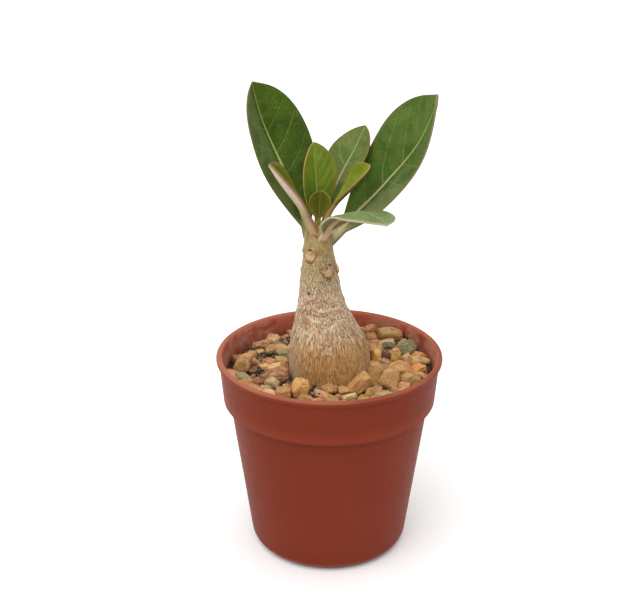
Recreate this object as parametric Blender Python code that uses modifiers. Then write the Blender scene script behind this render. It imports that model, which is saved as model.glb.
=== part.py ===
"""A young desert rose in a round plastic nursery pot, in metres, with +Z up.

The origin is the centre of the pot's foot on the ground. The plant's swollen base and
root are one piece with its stem, and its eight leaves sit on the stem's top.
"""

import math
import random
from collections import namedtuple

import bmesh
import bpy
from mathutils import Matrix, Vector

MM = 0.001
GAP = 0.3 * MM
MERGE = 0.02 * MM

# Pot: a thin moulded wall with a rolled lip, a straight collar and a tapering body
POT_HEIGHT = 78.0 * MM
POT_RADIUS = 42.5 * MM
POT_WALL = 1.2 * MM
POT_STEPS = 48
LIP_RADIUS = 1.35 * MM
COLLAR_FOOT_HEIGHT = 60.1 * MM
COLLAR_FOOT_RADIUS = 40.1 * MM
COLLAR_ROUNDING = 0.35 * MM
SHOULDER_RADIUS = 37.5 * MM
SHOULDER_CURVE = 2.2 * MM
FOOT_RADIUS = 30.4 * MM
FOOT_FILLET = 5.2 * MM
FOOT_RING_INNER = 21.5 * MM
FOOT_RECESS = 1.5 * MM
DRAIN_HOLES = 6
DRAIN_RADIUS = 3.0 * MM
DRAIN_CIRCLE = 14.0 * MM
DRAIN_SIDES = 14
FOOT_ARC = -8
LIP_ARC = (160, -80)

# Soil and gravel
SOIL_TOP = 62.5 * MM
GRAVEL_LEVEL = 71.0 * MM
GRAVEL_TILT = (0.030, 0.018)
BED_DEPTH = 1.5 * MM
GRAVEL_INNER = 15.6 * MM
GRAVEL_OUTER = 39.0 * MM
STONE_SEED = 7
FILL_STONES = 74
STONE_TRIES = 40
FILL_LENGTH = (6.6 * MM, 9.0 * MM)
FILL_WIDTH_SHARE = (0.68, 0.95)
FILL_HEIGHT_SHARE = (0.62, 0.85)
FILL_FROM_STEM = 0.8 * MM
FILL_FROM_WALL = 2.4 * MM
FILL_SUNK_SHARE = 0.26
STONE_CORNERS = (0.86, 1.16)
STONE_LEAN = 0.3
HIDDEN_GROWTH = 1.2

# Stones that stand out: across, away from the front, middle above the gravel's level,
# length, width, height and how far the right end is raised, in degrees
STONE_PLACES = (
    (-33.4, 3.4, 2.1, 9.5, 6.6, 5.2, 55),
    (-27.1, 20.2, 0.2, 7.2, 5.4, 4.4, 4),
    (-27.1, 15.2, -0.6, 4.4, 3.8, 3.6, 10),
    (-22.3, 22.0, -1.1, 2.7, 2.6, 2.6, 0),
    (-19.5, 21.6, -0.6, 3.4, 3.4, 3.6, 0),
    (-17.9, 13.7, -0.6, 4.4, 3.8, 3.6, -10),
    (-17.3, 30.6, -1.2, 3.6, 3.0, 2.3, 8),
    (-21.8, 15.5, -0.8, 3.4, 3.2, 3.2, 30),
    (-25.7, 5.9, -1.3, 4.8, 3.4, 2.2, 0),
    (-27.8, 0.9, -1.0, 5.7, 4.1, 2.8, 0),
    (-32.7, -5.3, -0.6, 6.3, 4.6, 3.4, -12),
    (-27.9, -3.8, -1.1, 3.2, 2.9, 2.5, 0),
    (-26.4, -8.5, -0.9, 5.9, 4.3, 3.0, 0),
    (-20.6, 1.2, -0.3, 8.0, 5.5, 3.7, 18),
    (-18.8, -5.5, 0.1, 7.6, 5.8, 5.1, 0),
    (-16.8, 2.1, 0.3, 3.4, 4.1, 5.3, 0),
    (-21.1, -11.0, -0.3, 5.7, 4.6, 4.1, -15),
    (-23.5, -15.4, -0.6, 5.3, 4.2, 3.5, -15),
    (-28.5, -11.9, -1.2, 6.5, 4.3, 2.2, -8),
    (-16.4, -12.5, -1.3, 2.3, 2.3, 2.2, 0),
    (-16.6, -19.9, 0.0, 6.3, 5.1, 4.7, -15),
    (-10.9, -19.4, 1.5, 7.0, 6.6, 7.8, -8),
    (0.1, -17.4, -0.3, 7.2, 5.3, 4.2, -4),
    (-0.8, -23.6, -0.6, 4.8, 3.9, 3.5, 0),
    (-4.2, -25.2, -0.9, 5.0, 3.9, 3.1, 0),
    (2.8, -22.6, -1.0, 3.4, 3.0, 2.7, 0),
    (5.4, -18.6, -0.6, 4.2, 3.7, 3.6, 0),
    (7.1, -23.8, -0.6, 5.9, 4.4, 3.4, 14),
    (10.7, -16.9, 1.2, 9.1, 6.6, 5.4, 42),
    (17.1, 30.4, 0.9, 5.3, 5.0, 5.6, 0),
    (24.7, 25.3, 1.3, 9.6, 6.4, 6.2, -4),
    (18.6, 22.7, -0.9, 6.3, 4.4, 2.9, 6),
    (23.7, 17.9, -0.6, 5.0, 4.0, 3.5, -8),
    (30.2, 13.3, 0.3, 9.5, 6.6, 5.2, 12),
    (16.7, 6.6, 1.3, 3.0, 4.7, 7.3, 0),
    (17.9, 4.8, 1.5, 3.8, 5.2, 7.7, 0),
    (21.7, 7.8, 0.2, 4.0, 4.3, 5.3, -8),
    (25.6, 5.4, 1.1, 4.2, 5.1, 7.1, -3),
    (28.7, 4.5, -0.5, 2.9, 3.3, 4.1, -25),
    (30.5, 4.1, -0.6, 2.3, 2.9, 3.7, 0),
    (34.7, 4.9, -0.6, 6.7, 4.8, 3.6, -4),
    (33.9, -3.1, -0.2, 6.5, 5.1, 4.5, 0),
    (27.1, -3.5, 0.2, 9.5, 6.6, 4.9, -10),
    (21.7, 0.4, -0.8, 3.0, 3.1, 3.2, 0),
    (17.6, -10.5, 1.4, 5.3, 5.8, 7.6, -8),
    (22.2, -14.2, 1.5, 8.0, 6.6, 7.8, 0),
    (30.1, -11.2, -0.1, 8.0, 5.8, 4.6, 4),
    (27.0, -16.7, -0.6, 5.9, 4.4, 3.4, 10),
    (16.2, -20.7, -0.1, 7.2, 5.4, 4.4, 12),
    (21.2, -19.0, -1.2, 4.6, 3.4, 2.2, 10),
)
# Low places where the potting mix shows: across, away from the front, length and width
SOIL_PATCHES = (
    (-17.0, 24.0, 2.2, 8.0),
    (-25.2, 11.4, 9.4, 6.5),
    (-25.2, -1.9, 4.4, 5.8),
    (-5.9, -17.2, 4.4, 10.2),
    (28.0, 24.0, 8.0, 5.1),
    (-15.9, -10.3, 2.9, 5.8),
    (-30.1, 16.6, 1.8, 5.8),
)

# Stem, swollen base and root: height, radius and how far the middle lies across
STEM_STEPS = 32
STEM_RINGS = 4
STEM_FORM = (
    (24.0, 1.0, 1.2),
    (32.0, 2.4, 0.8),
    (42.0, 5.0, 0.4),
    (52.0, 9.2, 0.4),
    (60.0, 13.0, 0.4),
    (67.0, 15.1, 0.4),
    (74.0, 15.4, 0.1),
    (79.5, 14.8, -0.4),
    (85.0, 13.5, -1.0),
    (90.0, 11.4, -1.9),
    (95.0, 9.5, -2.8),
    (100.0, 8.2, -3.4),
    (106.0, 7.3, -3.8),
    (112.0, 6.4, -4.0),
    (117.0, 5.7, -4.1),
    (121.0, 5.3, -4.1),
    (124.5, 5.1, -4.1),
    (126.8, 4.2, -4.1),
    (128.4, 2.6, -4.1),
    (129.3, 0.9, -4.1),
)
STEM_TOP_ACROSS = -4.1 * MM
STEM_SHOULDER = 124.0 * MM
SHOULDER_TO_TOP = 3.0 * MM
STEM_CAP = 0.4 * MM
ROOT_CAP = 1.0 * MM
SMALLEST_RADIUS = 0.1 * MM
RIDGES = ((98.0, 0.30), (94.2, 0.40), (91.4, 0.40), (105.6, 0.20))
RIDGE_HALF_HEIGHT = 1.0 * MM
LOBES = 3
LOBE_HEIGHT = 0.35 * MM
LOBE_TURN = 0.7
LOBES_FADE_IN = 8.0 * MM
LOBES_END = 118.0 * MM
LOBES_FADE_OUT = 4.0 * MM
RIDGE_WAVE = 0.6 * MM
FINE_RINGS_FROM = 80.0 * MM
# Leaf scars: height, side in degrees, half their width and how far they stand out
SCARS = (
    (117.8, 236, 2.8, 0.80),
    (111.8, 305, 2.8, 0.80),
    (102.5, 240, 2.3, 0.50),
    (118.9, 176, 1.3, 0.60),
    (111.5, 355, 1.9, 0.85),
    (111.0, 180, 0.9, 0.50),
    (115.4, 96, 2.4, 0.75),
    (108.4, 48, 2.2, 0.65),
    (105.2, 140, 2.2, 0.60),
    (118.0, 52, 1.7, 0.60),
    (99.6, 20, 1.9, 0.45),
)
SCAR_FLATNESS = 0.85

# Leaves. The foot is a height and a side of the stem in degrees; the heading turns along
# the leaf; the rise is given at the foot and the tip, with a bow added between; the size
# is length and half width; the fold lies along the midrib and the roll turns about it;
# bare is the share of the length with no blade, and outline shapes its margin.
Leaf = namedtuple("Leaf", "name foot heading turn rise size fold roll stalk bare outline")
LEAVES = (
    Leaf(
        "leaf_large_left", foot=(123.0, 155), heading=134, turn=18, rise=(71, -14, 77),
        size=(59.1, 14.2), fold=26, roll=(-28, -9), stalk=1.8, bare=0.02, outline=(1.00, 0.58),
    ),
    Leaf(
        "leaf_large_right", foot=(121.2, 6), heading=4, turn=-9, rise=(44, -2, 70),
        size=(65.9, 17.0), fold=15, roll=(34, 20), stalk=1.8, bare=0.05, outline=(1.13, 0.62),
    ),
    Leaf(
        "leaf_back", foot=(125.4, 62), heading=52, turn=-11, rise=(73, -10, 54),
        size=(41.3, 9.5), fold=11, roll=(3, -4), stalk=1.2, bare=0.11, outline=(1.11, 0.66),
    ),
    Leaf(
        "leaf_upright", foot=(126.9, 98), heading=107, turn=14, rise=(92, 9, 68),
        size=(30.7, 7.3), fold=19, roll=(0, 5), stalk=1.1, bare=0.06, outline=(0.96, 0.69),
    ),
    Leaf(
        "leaf_youngest", foot=(128.3, 277), heading=79, turn=-4, rise=(92, -14, 88),
        size=(12.7, 4.4), fold=28, roll=(10, 15), stalk=0.8, bare=0.13, outline=(1.18, 0.60),
    ),
    Leaf(
        "leaf_trough_left", foot=(125.6, 246), heading=207, turn=-8, rise=(74, -15, 63),
        size=(32.3, 5.5), fold=37, roll=(6, -27), stalk=1.7, bare=0.09, outline=(1.17, 0.41),
    ),
    Leaf(
        "leaf_trough_right", foot=(126.5, -42), heading=-14, turn=15, rise=(92, -34, 68),
        size=(30.0, 5.4), fold=40, roll=(-12, 32), stalk=1.2, bare=0.18, outline=(1.60, 0.40),
    ),
    Leaf(
        "leaf_arching", foot=(124.2, -72), heading=-45, turn=-15, rise=(60, -2, -14),
        size=(41.4, 11.0), fold=-5, roll=(-4, -5), stalk=1.7, bare=0.02, outline=(0.94, 0.67),
    ),
)
YOUNG_LEAVES = ("leaf_upright", "leaf_youngest", "leaf_trough_left", "leaf_trough_right")
LEAF_ROWS = 16
SMALL_LEAF_ROWS = 12
SMALL_LEAF = 40.0 * MM
TIP_CROWDING = 1.35
LEAF_THICKNESS = 0.8 * MM
LEAF_EDGE_THICKNESS = 0.7 * MM
STALK_TIP_SHARE = 0.28
STALK_THINNING = 0.8
STALK_WIDTH_SHARE = 1.2
STALK_DEPTHS = (0.4, 0.55, 0.5, 0.8)
MIDRIB_GROOVE = 0.15 * MM
MIDRIB_DEPTH_SHARE = 0.4
BLADE_ONSET = 2.5
HEEL_DEPTH = 2.4 * MM
HEEL_DROP = 1.8 * MM
SEAT_DEPTH = 1.0 * MM

Stone = namedtuple("Stone", "x y lift length width height turn raised")

COLOURS = {
    "pot": ((0.262, 0.055, 0.034), 0.55),
    "soil": ((0.030, 0.020, 0.014), 0.95),
    "gravel": ((0.500, 0.300, 0.140), 0.75),
    "plant": ((0.480, 0.380, 0.270), 0.80),
    "leaf": ((0.055, 0.130, 0.020), 0.38),
    "young_leaf": ((0.130, 0.190, 0.015), 0.40),
}


def clear_scene():
    for obj in list(bpy.data.objects):
        bpy.data.objects.remove(obj)


def new_collection(name):
    collection = bpy.data.collections.new(name)
    bpy.context.scene.collection.children.link(collection)
    return collection


def material(name):
    found = bpy.data.materials.get(name)
    if found:
        return found
    colour, roughness = COLOURS[name]
    made = bpy.data.materials.new(name)
    made.use_nodes = True
    shader = made.node_tree.nodes["Principled BSDF"]
    shader.inputs["Base Color"].default_value = (*colour, 1.0)
    shader.inputs["Roughness"].default_value = roughness
    shader.inputs["Metallic"].default_value = 0.0
    made.diffuse_color = (*colour, 1.0)
    return made


def add_object(name, mesh, collection):
    obj = bpy.data.objects.new(name, mesh)
    collection.objects.link(obj)
    return obj


def mesh_from(name, build):
    """A mesh filled by build(bm), with its faces pointing out."""
    bm = bmesh.new()
    build(bm)
    bmesh.ops.recalc_face_normals(bm, faces=bm.faces)
    mesh = bpy.data.meshes.new(name)
    bm.to_mesh(mesh)
    bm.free()
    return mesh


def turned(name, profile, collection, steps=POT_STEPS):
    """A solid of revolution; the profile of (radius, height) runs down its outer side."""
    mesh = bpy.data.meshes.new(name)
    points = [(radius, 0.0, height) for radius, height in profile]
    edges = [(i, i + 1) for i in range(len(points) - 1)]
    mesh.from_pydata(points, edges, [])
    obj = add_object(name, mesh, collection)
    screw = obj.modifiers.new("turn", "SCREW")
    screw.steps = steps
    screw.render_steps = steps
    screw.use_merge_vertices = True
    screw.merge_threshold = MERGE
    return apply_modifiers(obj)


def apply_modifiers(obj):
    """Bakes the object's modifiers into its mesh."""
    graph = bpy.context.evaluated_depsgraph_get()
    graph.update()
    mesh = bpy.data.meshes.new_from_object(obj.evaluated_get(graph))
    old = obj.data
    obj.modifiers.clear()
    obj.data = mesh
    bpy.data.meshes.remove(old)
    return obj


def boolean(obj, operation, other):
    """Applies one Boolean with an object or a collection as the other shape."""
    step = obj.modifiers.new(operation.lower(), "BOOLEAN")
    step.operation = operation
    if isinstance(other, bpy.types.Collection):
        step.operand_type = "COLLECTION"
        step.collection = other
    else:
        step.object = other
    return apply_modifiers(obj)


def drop_scraps(obj):
    """Keeps only the largest connected body of a mesh."""
    bm = bmesh.new()
    bm.from_mesh(obj.data)
    left = set(bm.verts)
    bodies = []
    while left:
        body = set()
        front = [left.pop()]
        while front:
            vertex = front.pop()
            body.add(vertex)
            for edge in vertex.link_edges:
                other = edge.other_vert(vertex)
                if other in left:
                    left.remove(other)
                    front.append(other)
        bodies.append(body)
    bodies.sort(key=len)
    for body in bodies[:-1]:
        bmesh.ops.delete(bm, geom=list(body), context="VERTS")
    bm.to_mesh(obj.data)
    bm.free()


def as_cutter(obj):
    obj.hide_render = True
    obj.display_type = "WIRE"
    return obj


def finish(obj, slot, smooth_below=40.0):
    obj.data.materials.clear()
    obj.data.materials.append(material(slot))
    obj.data.shade_smooth()
    obj.data.set_sharp_from_angle(angle=math.radians(smooth_below))


def arc(centre_radius, centre_height, radius, start, end, steps):
    """Points of an arc in the profile's plane, with angles in degrees from +X."""
    found = []
    for i in range(steps + 1):
        angle = math.radians(start + (end - start) * i / steps)
        found.append(
            (centre_radius + radius * math.cos(angle), centre_height + radius * math.sin(angle))
        )
    return found


def mix(a, b, share):
    return a + (b - a) * share


def smooth_step(value):
    value = min(max(value, 0.0), 1.0)
    return value * value * (3.0 - 2.0 * value)


def catmull(a, b, c, d, t):
    """The smooth curve through b and c, with a and d as its neighbours."""
    return 0.5 * (
        2.0 * b + (c - a) * t + (2.0 * a - 5.0 * b + 4.0 * c - d) * t * t
        + (3.0 * b - a - 3.0 * c + d) * t ** 3
    )


# Pot


def pot_inner_wall():
    """The pot's inside, from the middle of its floor up to the lip."""
    floor = FOOT_RECESS + POT_WALL
    fillet = FOOT_FILLET - POT_WALL
    foot = FOOT_RADIUS - POT_WALL
    shoulder = SHOULDER_RADIUS - POT_WALL
    ledge = COLLAR_FOOT_HEIGHT
    corner = arc(foot - fillet, floor + fillet, fillet, -90, FOOT_ARC, 3)
    return (
        [(0.0, floor)]
        + corner
        + [(shoulder, ledge - SHOULDER_CURVE)]
        + [(shoulder + 0.4 * POT_WALL, ledge - 0.75 * POT_WALL)]
        + [(COLLAR_FOOT_RADIUS - POT_WALL, ledge + 0.5 * POT_WALL)]
        + [(POT_RADIUS - 1.85 * LIP_RADIUS, POT_HEIGHT - LIP_RADIUS)]
    )


def pot_profile():
    """The closed section: up the inside, over the lip, down the outside and along the foot."""
    lip = arc(POT_RADIUS - LIP_RADIUS, POT_HEIGHT - LIP_RADIUS, LIP_RADIUS, *LIP_ARC, 6)
    neck_middle = SHOULDER_RADIUS + SHOULDER_CURVE
    neck_height = COLLAR_FOOT_HEIGHT - COLLAR_ROUNDING - SHOULDER_CURVE
    neck = arc(neck_middle, neck_height, SHOULDER_CURVE, 90, 180, 3)
    foot = arc(FOOT_RADIUS - FOOT_FILLET, FOOT_FILLET, FOOT_FILLET, FOOT_ARC, -90, 5)
    ring = [
        (FOOT_RING_INNER + FOOT_RECESS, 0.0),
        (FOOT_RING_INNER, FOOT_RECESS),
        (0.0, FOOT_RECESS),
    ]
    return (
        pot_inner_wall()
        + lip
        + [(COLLAR_FOOT_RADIUS, COLLAR_FOOT_HEIGHT + COLLAR_ROUNDING)]
        + neck
        + foot
        + ring
    )


def make_pot(parts, cutters):
    pot = turned("pot", pot_profile(), parts)
    floor_middle = FOOT_RECESS + 0.5 * POT_WALL
    for i in range(DRAIN_HOLES):
        angle = 2.0 * math.pi * (i + 0.5) / DRAIN_HOLES

        def build(bm):
            bmesh.ops.create_cone(
                bm,
                cap_ends=True,
                segments=DRAIN_SIDES,
                radius1=DRAIN_RADIUS,
                radius2=DRAIN_RADIUS,
                depth=4.0 * POT_WALL,
            )

        hole = as_cutter(add_object(f"drain_cutter_{i + 1}", mesh_from("drain", build), cutters))
        hole.location = (
            DRAIN_CIRCLE * math.cos(angle),
            DRAIN_CIRCLE * math.sin(angle),
            floor_middle,
        )
        boolean(pot, "DIFFERENCE", hole)
    finish(pot, "pot")


# Stem and swollen base


def stem_form(height):
    """Radius and sideways place of the stem's middle at a height, read from STEM_FORM."""
    rows = STEM_FORM
    value = height / MM
    k = 0
    while k < len(rows) - 2 and value > rows[k + 1][0]:
        k += 1
    t = (value - rows[k][0]) / (rows[k + 1][0] - rows[k][0])
    near = [rows[max(k - 1, 0)], rows[k], rows[k + 1], rows[min(k + 2, len(rows) - 1)]]
    radius = catmull(*(row[1] for row in near), t) * MM
    across = catmull(*(row[2] for row in near), t) * MM
    return max(radius, SMALLEST_RADIUS), across


def around(angle, side):
    """The shortest way round between two directions, in radians."""
    return (angle - math.radians(side) + math.pi) % (2.0 * math.pi) - math.pi


def relief(angle, height, radius):
    """How far the bark stands out: slow lobes, growth ridges and leaf scars."""
    above_gravel = smooth_step((height - GRAVEL_LEVEL) / LOBES_FADE_IN)
    below_crown = smooth_step((LOBES_END - height) / LOBES_FADE_OUT)
    lobes = LOBE_HEIGHT * math.sin(LOBES * angle + LOBE_TURN) * above_gravel * below_crown
    ridges = 0.0
    for place, size in RIDGES:
        wave = RIDGE_WAVE * math.sin(2.0 * angle + place)
        near = (height - place * MM + wave) / RIDGE_HALF_HEIGHT
        ridges += size * MM * math.exp(-near * near)
    scars = 0.0
    for place, side, half_width, size in SCARS:
        sideways = around(angle, side) * radius / (half_width * MM)
        upwards = (height - place * MM) / (SCAR_FLATNESS * half_width * MM)
        scars += size * MM * math.exp(-(sideways ** 2 + upwards ** 2) ** 2)
    return lobes + ridges + scars


def stem_profile(extra):
    """Radii and heights down the stem, with extra added all round."""
    heights = []
    for low, high in zip(STEM_FORM, STEM_FORM[1:]):
        rings = STEM_RINGS if low[0] * MM >= FINE_RINGS_FROM else 1
        for i in range(rings):
            heights.append(mix(low[0], high[0], i / rings) * MM)
    heights.append(STEM_FORM[-1][0] * MM)
    top = STEM_FORM[-1][0] * MM + STEM_CAP
    bottom = STEM_FORM[0][0] * MM - ROOT_CAP
    body = []
    for height in reversed(heights):
        lift = extra * smooth_step((height - STEM_SHOULDER) / SHOULDER_TO_TOP)
        body.append((stem_form(height)[0] + extra, height + lift))
    return [(0.0, top + extra)] + body + [(0.0, bottom - extra)]


def stem_shape(name, extra, collection):
    """The stem as one closed form; extra makes the room that its neighbours leave."""
    obj = turned(name, stem_profile(extra), collection, STEM_STEPS)
    for vertex in obj.data.vertices:
        height = vertex.co.z
        radius = math.hypot(vertex.co.x, vertex.co.y)
        angle = math.atan2(vertex.co.y, vertex.co.x)
        across = stem_form(min(max(height, STEM_FORM[0][0] * MM), STEM_FORM[-1][0] * MM))[1]
        if radius > extra + 0.5 * MM:
            radius += relief(angle, height, radius)
        vertex.co.x = across + radius * math.cos(angle)
        vertex.co.y = radius * math.sin(angle)
    return obj


def make_stem(parts):
    stem = stem_shape("caudex", 0.0, parts)
    finish(stem, "plant", 60.0)


# Soil


def soil_profile():
    """The soil's outside, just clear of the pot, and its top."""
    wall = [(radius - GAP, height + GAP) for radius, height in pot_inner_wall()[1:-1]]
    side = [point for point in wall if point[1] < SOIL_TOP]
    upper = wall_radius(SOIL_TOP) - GAP
    top = [(0.0, SOIL_TOP), (upper, SOIL_TOP)]
    return top + list(reversed(side)) + [(0.0, FOOT_RECESS + POT_WALL + GAP)]


def wall_radius(height):
    """The pot's inner radius at a height."""
    wall = pot_inner_wall()
    for low, high in zip(wall, wall[1:]):
        if low[1] <= height <= high[1] and high[1] > low[1]:
            return mix(low[0], high[0], (height - low[1]) / (high[1] - low[1]))
    return wall[-1][0]


def make_soil(parts, stem_room):
    soil = turned("soil", soil_profile(), parts)
    boolean(soil, "DIFFERENCE", stem_room)
    finish(soil, "soil")


# Gravel


def gravel_level(x, y):
    """The height of the gravel, heaped towards the back on the right."""
    return GRAVEL_LEVEL + GRAVEL_TILT[0] * x + GRAVEL_TILT[1] * y


def placed_stones():
    """The stones that stand out, widened a little, because their widest parts lie buried."""
    stones = []
    for x, y, lift, length, width, height, raised in STONE_PLACES:
        length *= HIDDEN_GROWTH
        width *= HIDDEN_GROWTH
        sizes = (size * MM for size in (x, y, lift, length, width, height))
        stones.append(Stone(*sizes, turn=0.0, raised=raised))
    return stones


def random_stone(rng):
    """A stone's place, size and turn, drawn evenly over the ring of gravel."""
    inner = GRAVEL_INNER + FILL_FROM_STEM
    outer = GRAVEL_OUTER - FILL_FROM_WALL
    radius = math.sqrt(rng.uniform(inner ** 2, outer ** 2))
    angle = rng.uniform(0.0, 2.0 * math.pi)
    length = rng.uniform(*FILL_LENGTH)
    width = length * rng.uniform(*FILL_WIDTH_SHARE)
    height = length * rng.uniform(*FILL_HEIGHT_SHARE)
    return Stone(
        radius * math.cos(angle), radius * math.sin(angle), -FILL_SUNK_SHARE * height,
        length, width, height, rng.uniform(0.0, 180.0), 0.0,
    )


def room_round(stone, taken):
    """How far a stone lies from its nearest neighbour, against their sizes."""
    return min(
        math.hypot(stone.x - x, stone.y - y) / (stone.length + stone.width + length + width)
        for x, y, length, width in taken
    )


def all_stones(rng):
    """The stones that stand out, then others drawn into the widest spaces left."""
    stones = placed_stones()
    taken = [(stone.x, stone.y, stone.length, stone.width) for stone in stones]
    taken += [tuple(size * MM for size in patch) for patch in SOIL_PATCHES]
    for _ in range(FILL_STONES):
        drawn = [random_stone(rng) for _ in range(STONE_TRIES)]
        widest = max(drawn, key=lambda stone: room_round(stone, taken))
        stones.append(widest)
        taken.append((widest.x, widest.y, widest.length, widest.width))
    return stones


def make_stone(name, stone, rng, collection):
    """An angular pebble: a round form of twenty faces with its corners pushed in and out."""
    corners = [rng.uniform(*STONE_CORNERS) for _ in range(12)]
    lean = rng.uniform(-STONE_LEAN, STONE_LEAN)

    def build(bm):
        bmesh.ops.create_icosphere(bm, subdivisions=1, radius=0.5)
        for vertex, share in zip(bm.verts, corners):
            vertex.co *= share
        bmesh.ops.scale(bm, vec=(stone.length, stone.width, stone.height), verts=bm.verts)

    obj = add_object(name, mesh_from(name, build), collection)
    centre = Vector((stone.x, stone.y, gravel_level(stone.x, stone.y) + stone.lift))
    turning = (
        Matrix.Rotation(math.radians(stone.turn), 4, "Z")
        @ Matrix.Rotation(math.radians(-stone.raised), 4, "Y")
        @ Matrix.Rotation(lean, 4, "X")
    )
    obj.data.transform(Matrix.Translation(centre) @ turning)
    return obj


def make_gravel(parts, cutters, stem_room):
    """A ring of gravel: a bed with every stone joined to it, clear of the pot and the stem."""
    rng = random.Random(STONE_SEED)
    bottom = SOIL_TOP + GAP
    bed_top = GRAVEL_LEVEL - BED_DEPTH
    gravel = turned(
        "gravel",
        [
            (0.0, bed_top),
            (wall_radius(bed_top) - GAP, bed_top),
            (wall_radius(bottom) - GAP, bottom),
            (0.0, bottom),
        ],
        parts,
    )
    for vertex in gravel.data.vertices:
        if vertex.co.z > bed_top - GAP:
            vertex.co.z = gravel_level(vertex.co.x, vertex.co.y) - BED_DEPTH
    heap = bpy.data.collections.new("stones")
    bpy.context.scene.collection.children.link(heap)
    for i, stone in enumerate(all_stones(rng)):
        make_stone(f"stone_{i + 1}", stone, rng, heap)
    boolean(gravel, "UNION", heap)
    for obj in list(heap.objects):
        bpy.data.objects.remove(obj)
    bpy.data.collections.remove(heap)
    lip_foot = POT_HEIGHT - 2.0 * LIP_RADIUS
    room = turned(
        "gravel_room",
        [
            (0.0, POT_HEIGHT),
            (wall_radius(POT_HEIGHT) - GAP, POT_HEIGHT),
            (wall_radius(lip_foot) - GAP, lip_foot),
            (wall_radius(bottom) - GAP, bottom),
            (0.0, bottom),
        ],
        cutters,
    )
    boolean(gravel, "INTERSECT", as_cutter(room))
    boolean(gravel, "DIFFERENCE", stem_room)
    drop_scraps(gravel)
    finish(gravel, "gravel", 20.0)


# Leaves


def leaf_outline(share, belly, taper):
    """Half the blade's width along it, from 0 to 1 of the widest."""
    if share <= 0.0 or share >= 1.0:
        return 0.0
    widest = belly / (belly + taper)
    return (share / widest) ** belly * ((1.0 - share) / (1.0 - widest)) ** taper


def leaf_frame(leaf, share):
    """Directions along, across and up from the blade at a share of its length."""
    heading = math.radians(leaf.heading + leaf.turn * share)
    foot_rise, bow, tip_rise = leaf.rise
    rise = math.radians(mix(foot_rise, tip_rise, share) + bow * math.sin(math.pi * share))
    along = Vector(
        (math.cos(rise) * math.cos(heading), math.cos(rise) * math.sin(heading), math.sin(rise))
    )
    up = Vector(
        (-math.sin(rise) * math.cos(heading), -math.sin(rise) * math.sin(heading), math.cos(rise))
    )
    across = along.cross(up)
    roll = math.radians(mix(*leaf.roll, share))
    return (
        along,
        across * math.cos(roll) - up * math.sin(roll),
        up * math.cos(roll) + across * math.sin(roll),
    )


def leaf_foot(leaf):
    """Where the leaf stalk's middle enters the stem, and the way into the stem there."""
    height = leaf.foot[0] * MM
    side = math.radians(leaf.foot[1])
    outward = Vector((math.cos(side), math.sin(side), 0.0))
    radius = stem_form(height)[0] - SEAT_DEPTH
    return Vector((STEM_TOP_ACROSS, 0.0, height)) + outward * radius, -outward


def leaf_section(leaf, share):
    """Across, upper and lower heights at seven places from margin to margin."""
    stalk = leaf.stalk * MM * mix(1.0, STALK_TIP_SHARE, share ** STALK_THINNING)
    blade_share = (share - leaf.bare) / (1.0 - leaf.bare)
    blade = leaf.size[1] * MM * leaf_outline(blade_share, *leaf.outline)
    narrowest = STALK_WIDTH_SHARE * stalk
    half_width = max(blade, narrowest)
    flat = smooth_step((half_width - narrowest) / (BLADE_ONSET * stalk))
    plate = 0.5 * LEAF_THICKNESS
    edge = 0.5 * LEAF_EDGE_THICKNESS
    beside_top, beside_bottom, middle_top, middle_bottom = (depth * stalk for depth in STALK_DEPTHS)
    keel = plate + MIDRIB_DEPTH_SHARE * stalk
    beside = (mix(beside_top, plate, flat), -mix(beside_bottom, plate, flat))
    middle = (mix(middle_top, plate - MIDRIB_GROOVE, flat), -mix(middle_bottom, keel, flat))
    between = 0.5 * (half_width + stalk)
    places = (-half_width, -between, -stalk, 0.0, stalk, between, half_width)
    heights = (
        (edge, -edge),
        (plate, -plate),
        beside,
        middle,
        beside,
        (plate, -plate),
        (edge, -edge),
    )
    return places, heights


def leaf_rings(leaf):
    """The corners of each cut across the leaf: upper ones, then lower ones, left to right."""
    foot, inward = leaf_foot(leaf)
    length = leaf.size[0] * MM
    rows = LEAF_ROWS if length > SMALL_LEAF else SMALL_LEAF_ROWS
    shares = [1.0 - (1.0 - i / rows) ** TIP_CROWDING for i in range(rows + 1)]
    centre = foot.copy()
    fold = math.radians(leaf.fold)
    rings = []
    previous = 0.0
    for share in shares:
        step = leaf_frame(leaf, 0.5 * (previous + share))[0]
        centre = centre + step * (share - previous) * length
        previous = share
        along, across, up = leaf_frame(leaf, share)
        places, heights = leaf_section(leaf, share)
        upper, lower = [], []
        for place, (high, low) in zip(places, heights):
            base = centre + across * place * math.cos(fold) + up * abs(place) * math.sin(fold)
            upper.append(base + up * high)
            lower.append(base + up * low)
        rings.append((upper, lower))
    heel_shift = inward * HEEL_DEPTH - Vector((0.0, 0.0, HEEL_DROP))
    heel = tuple([corner + heel_shift for corner in side] for side in rings[0])
    return [heel] + rings


def build_leaf(bm, leaf):
    """The leaf as one closed body, with its two faces split into triangles alike."""
    rings = [
        [[bm.verts.new(corner) for corner in side] for side in ring] for ring in leaf_rings(leaf)
    ]
    for (upper, lower), (next_upper, next_lower) in zip(rings, rings[1:]):
        for j in range(len(upper) - 1):
            for low, high, flip in ((upper, next_upper, False), (lower, next_lower, True)):
                first = [low[j], low[j + 1], high[j + 1]]
                second = [low[j], high[j + 1], high[j]]
                for corners in (first, second):
                    bm.faces.new(list(reversed(corners)) if flip else corners)
        for j in (0, -1):
            side = [upper[j], next_upper[j], next_lower[j], lower[j]]
            bm.faces.new(side if j == 0 else list(reversed(side)))
    for upper, lower in (rings[0], rings[-1]):
        for j in range(len(upper) - 1):
            bm.faces.new([upper[j], upper[j + 1], lower[j + 1], lower[j]])


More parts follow.
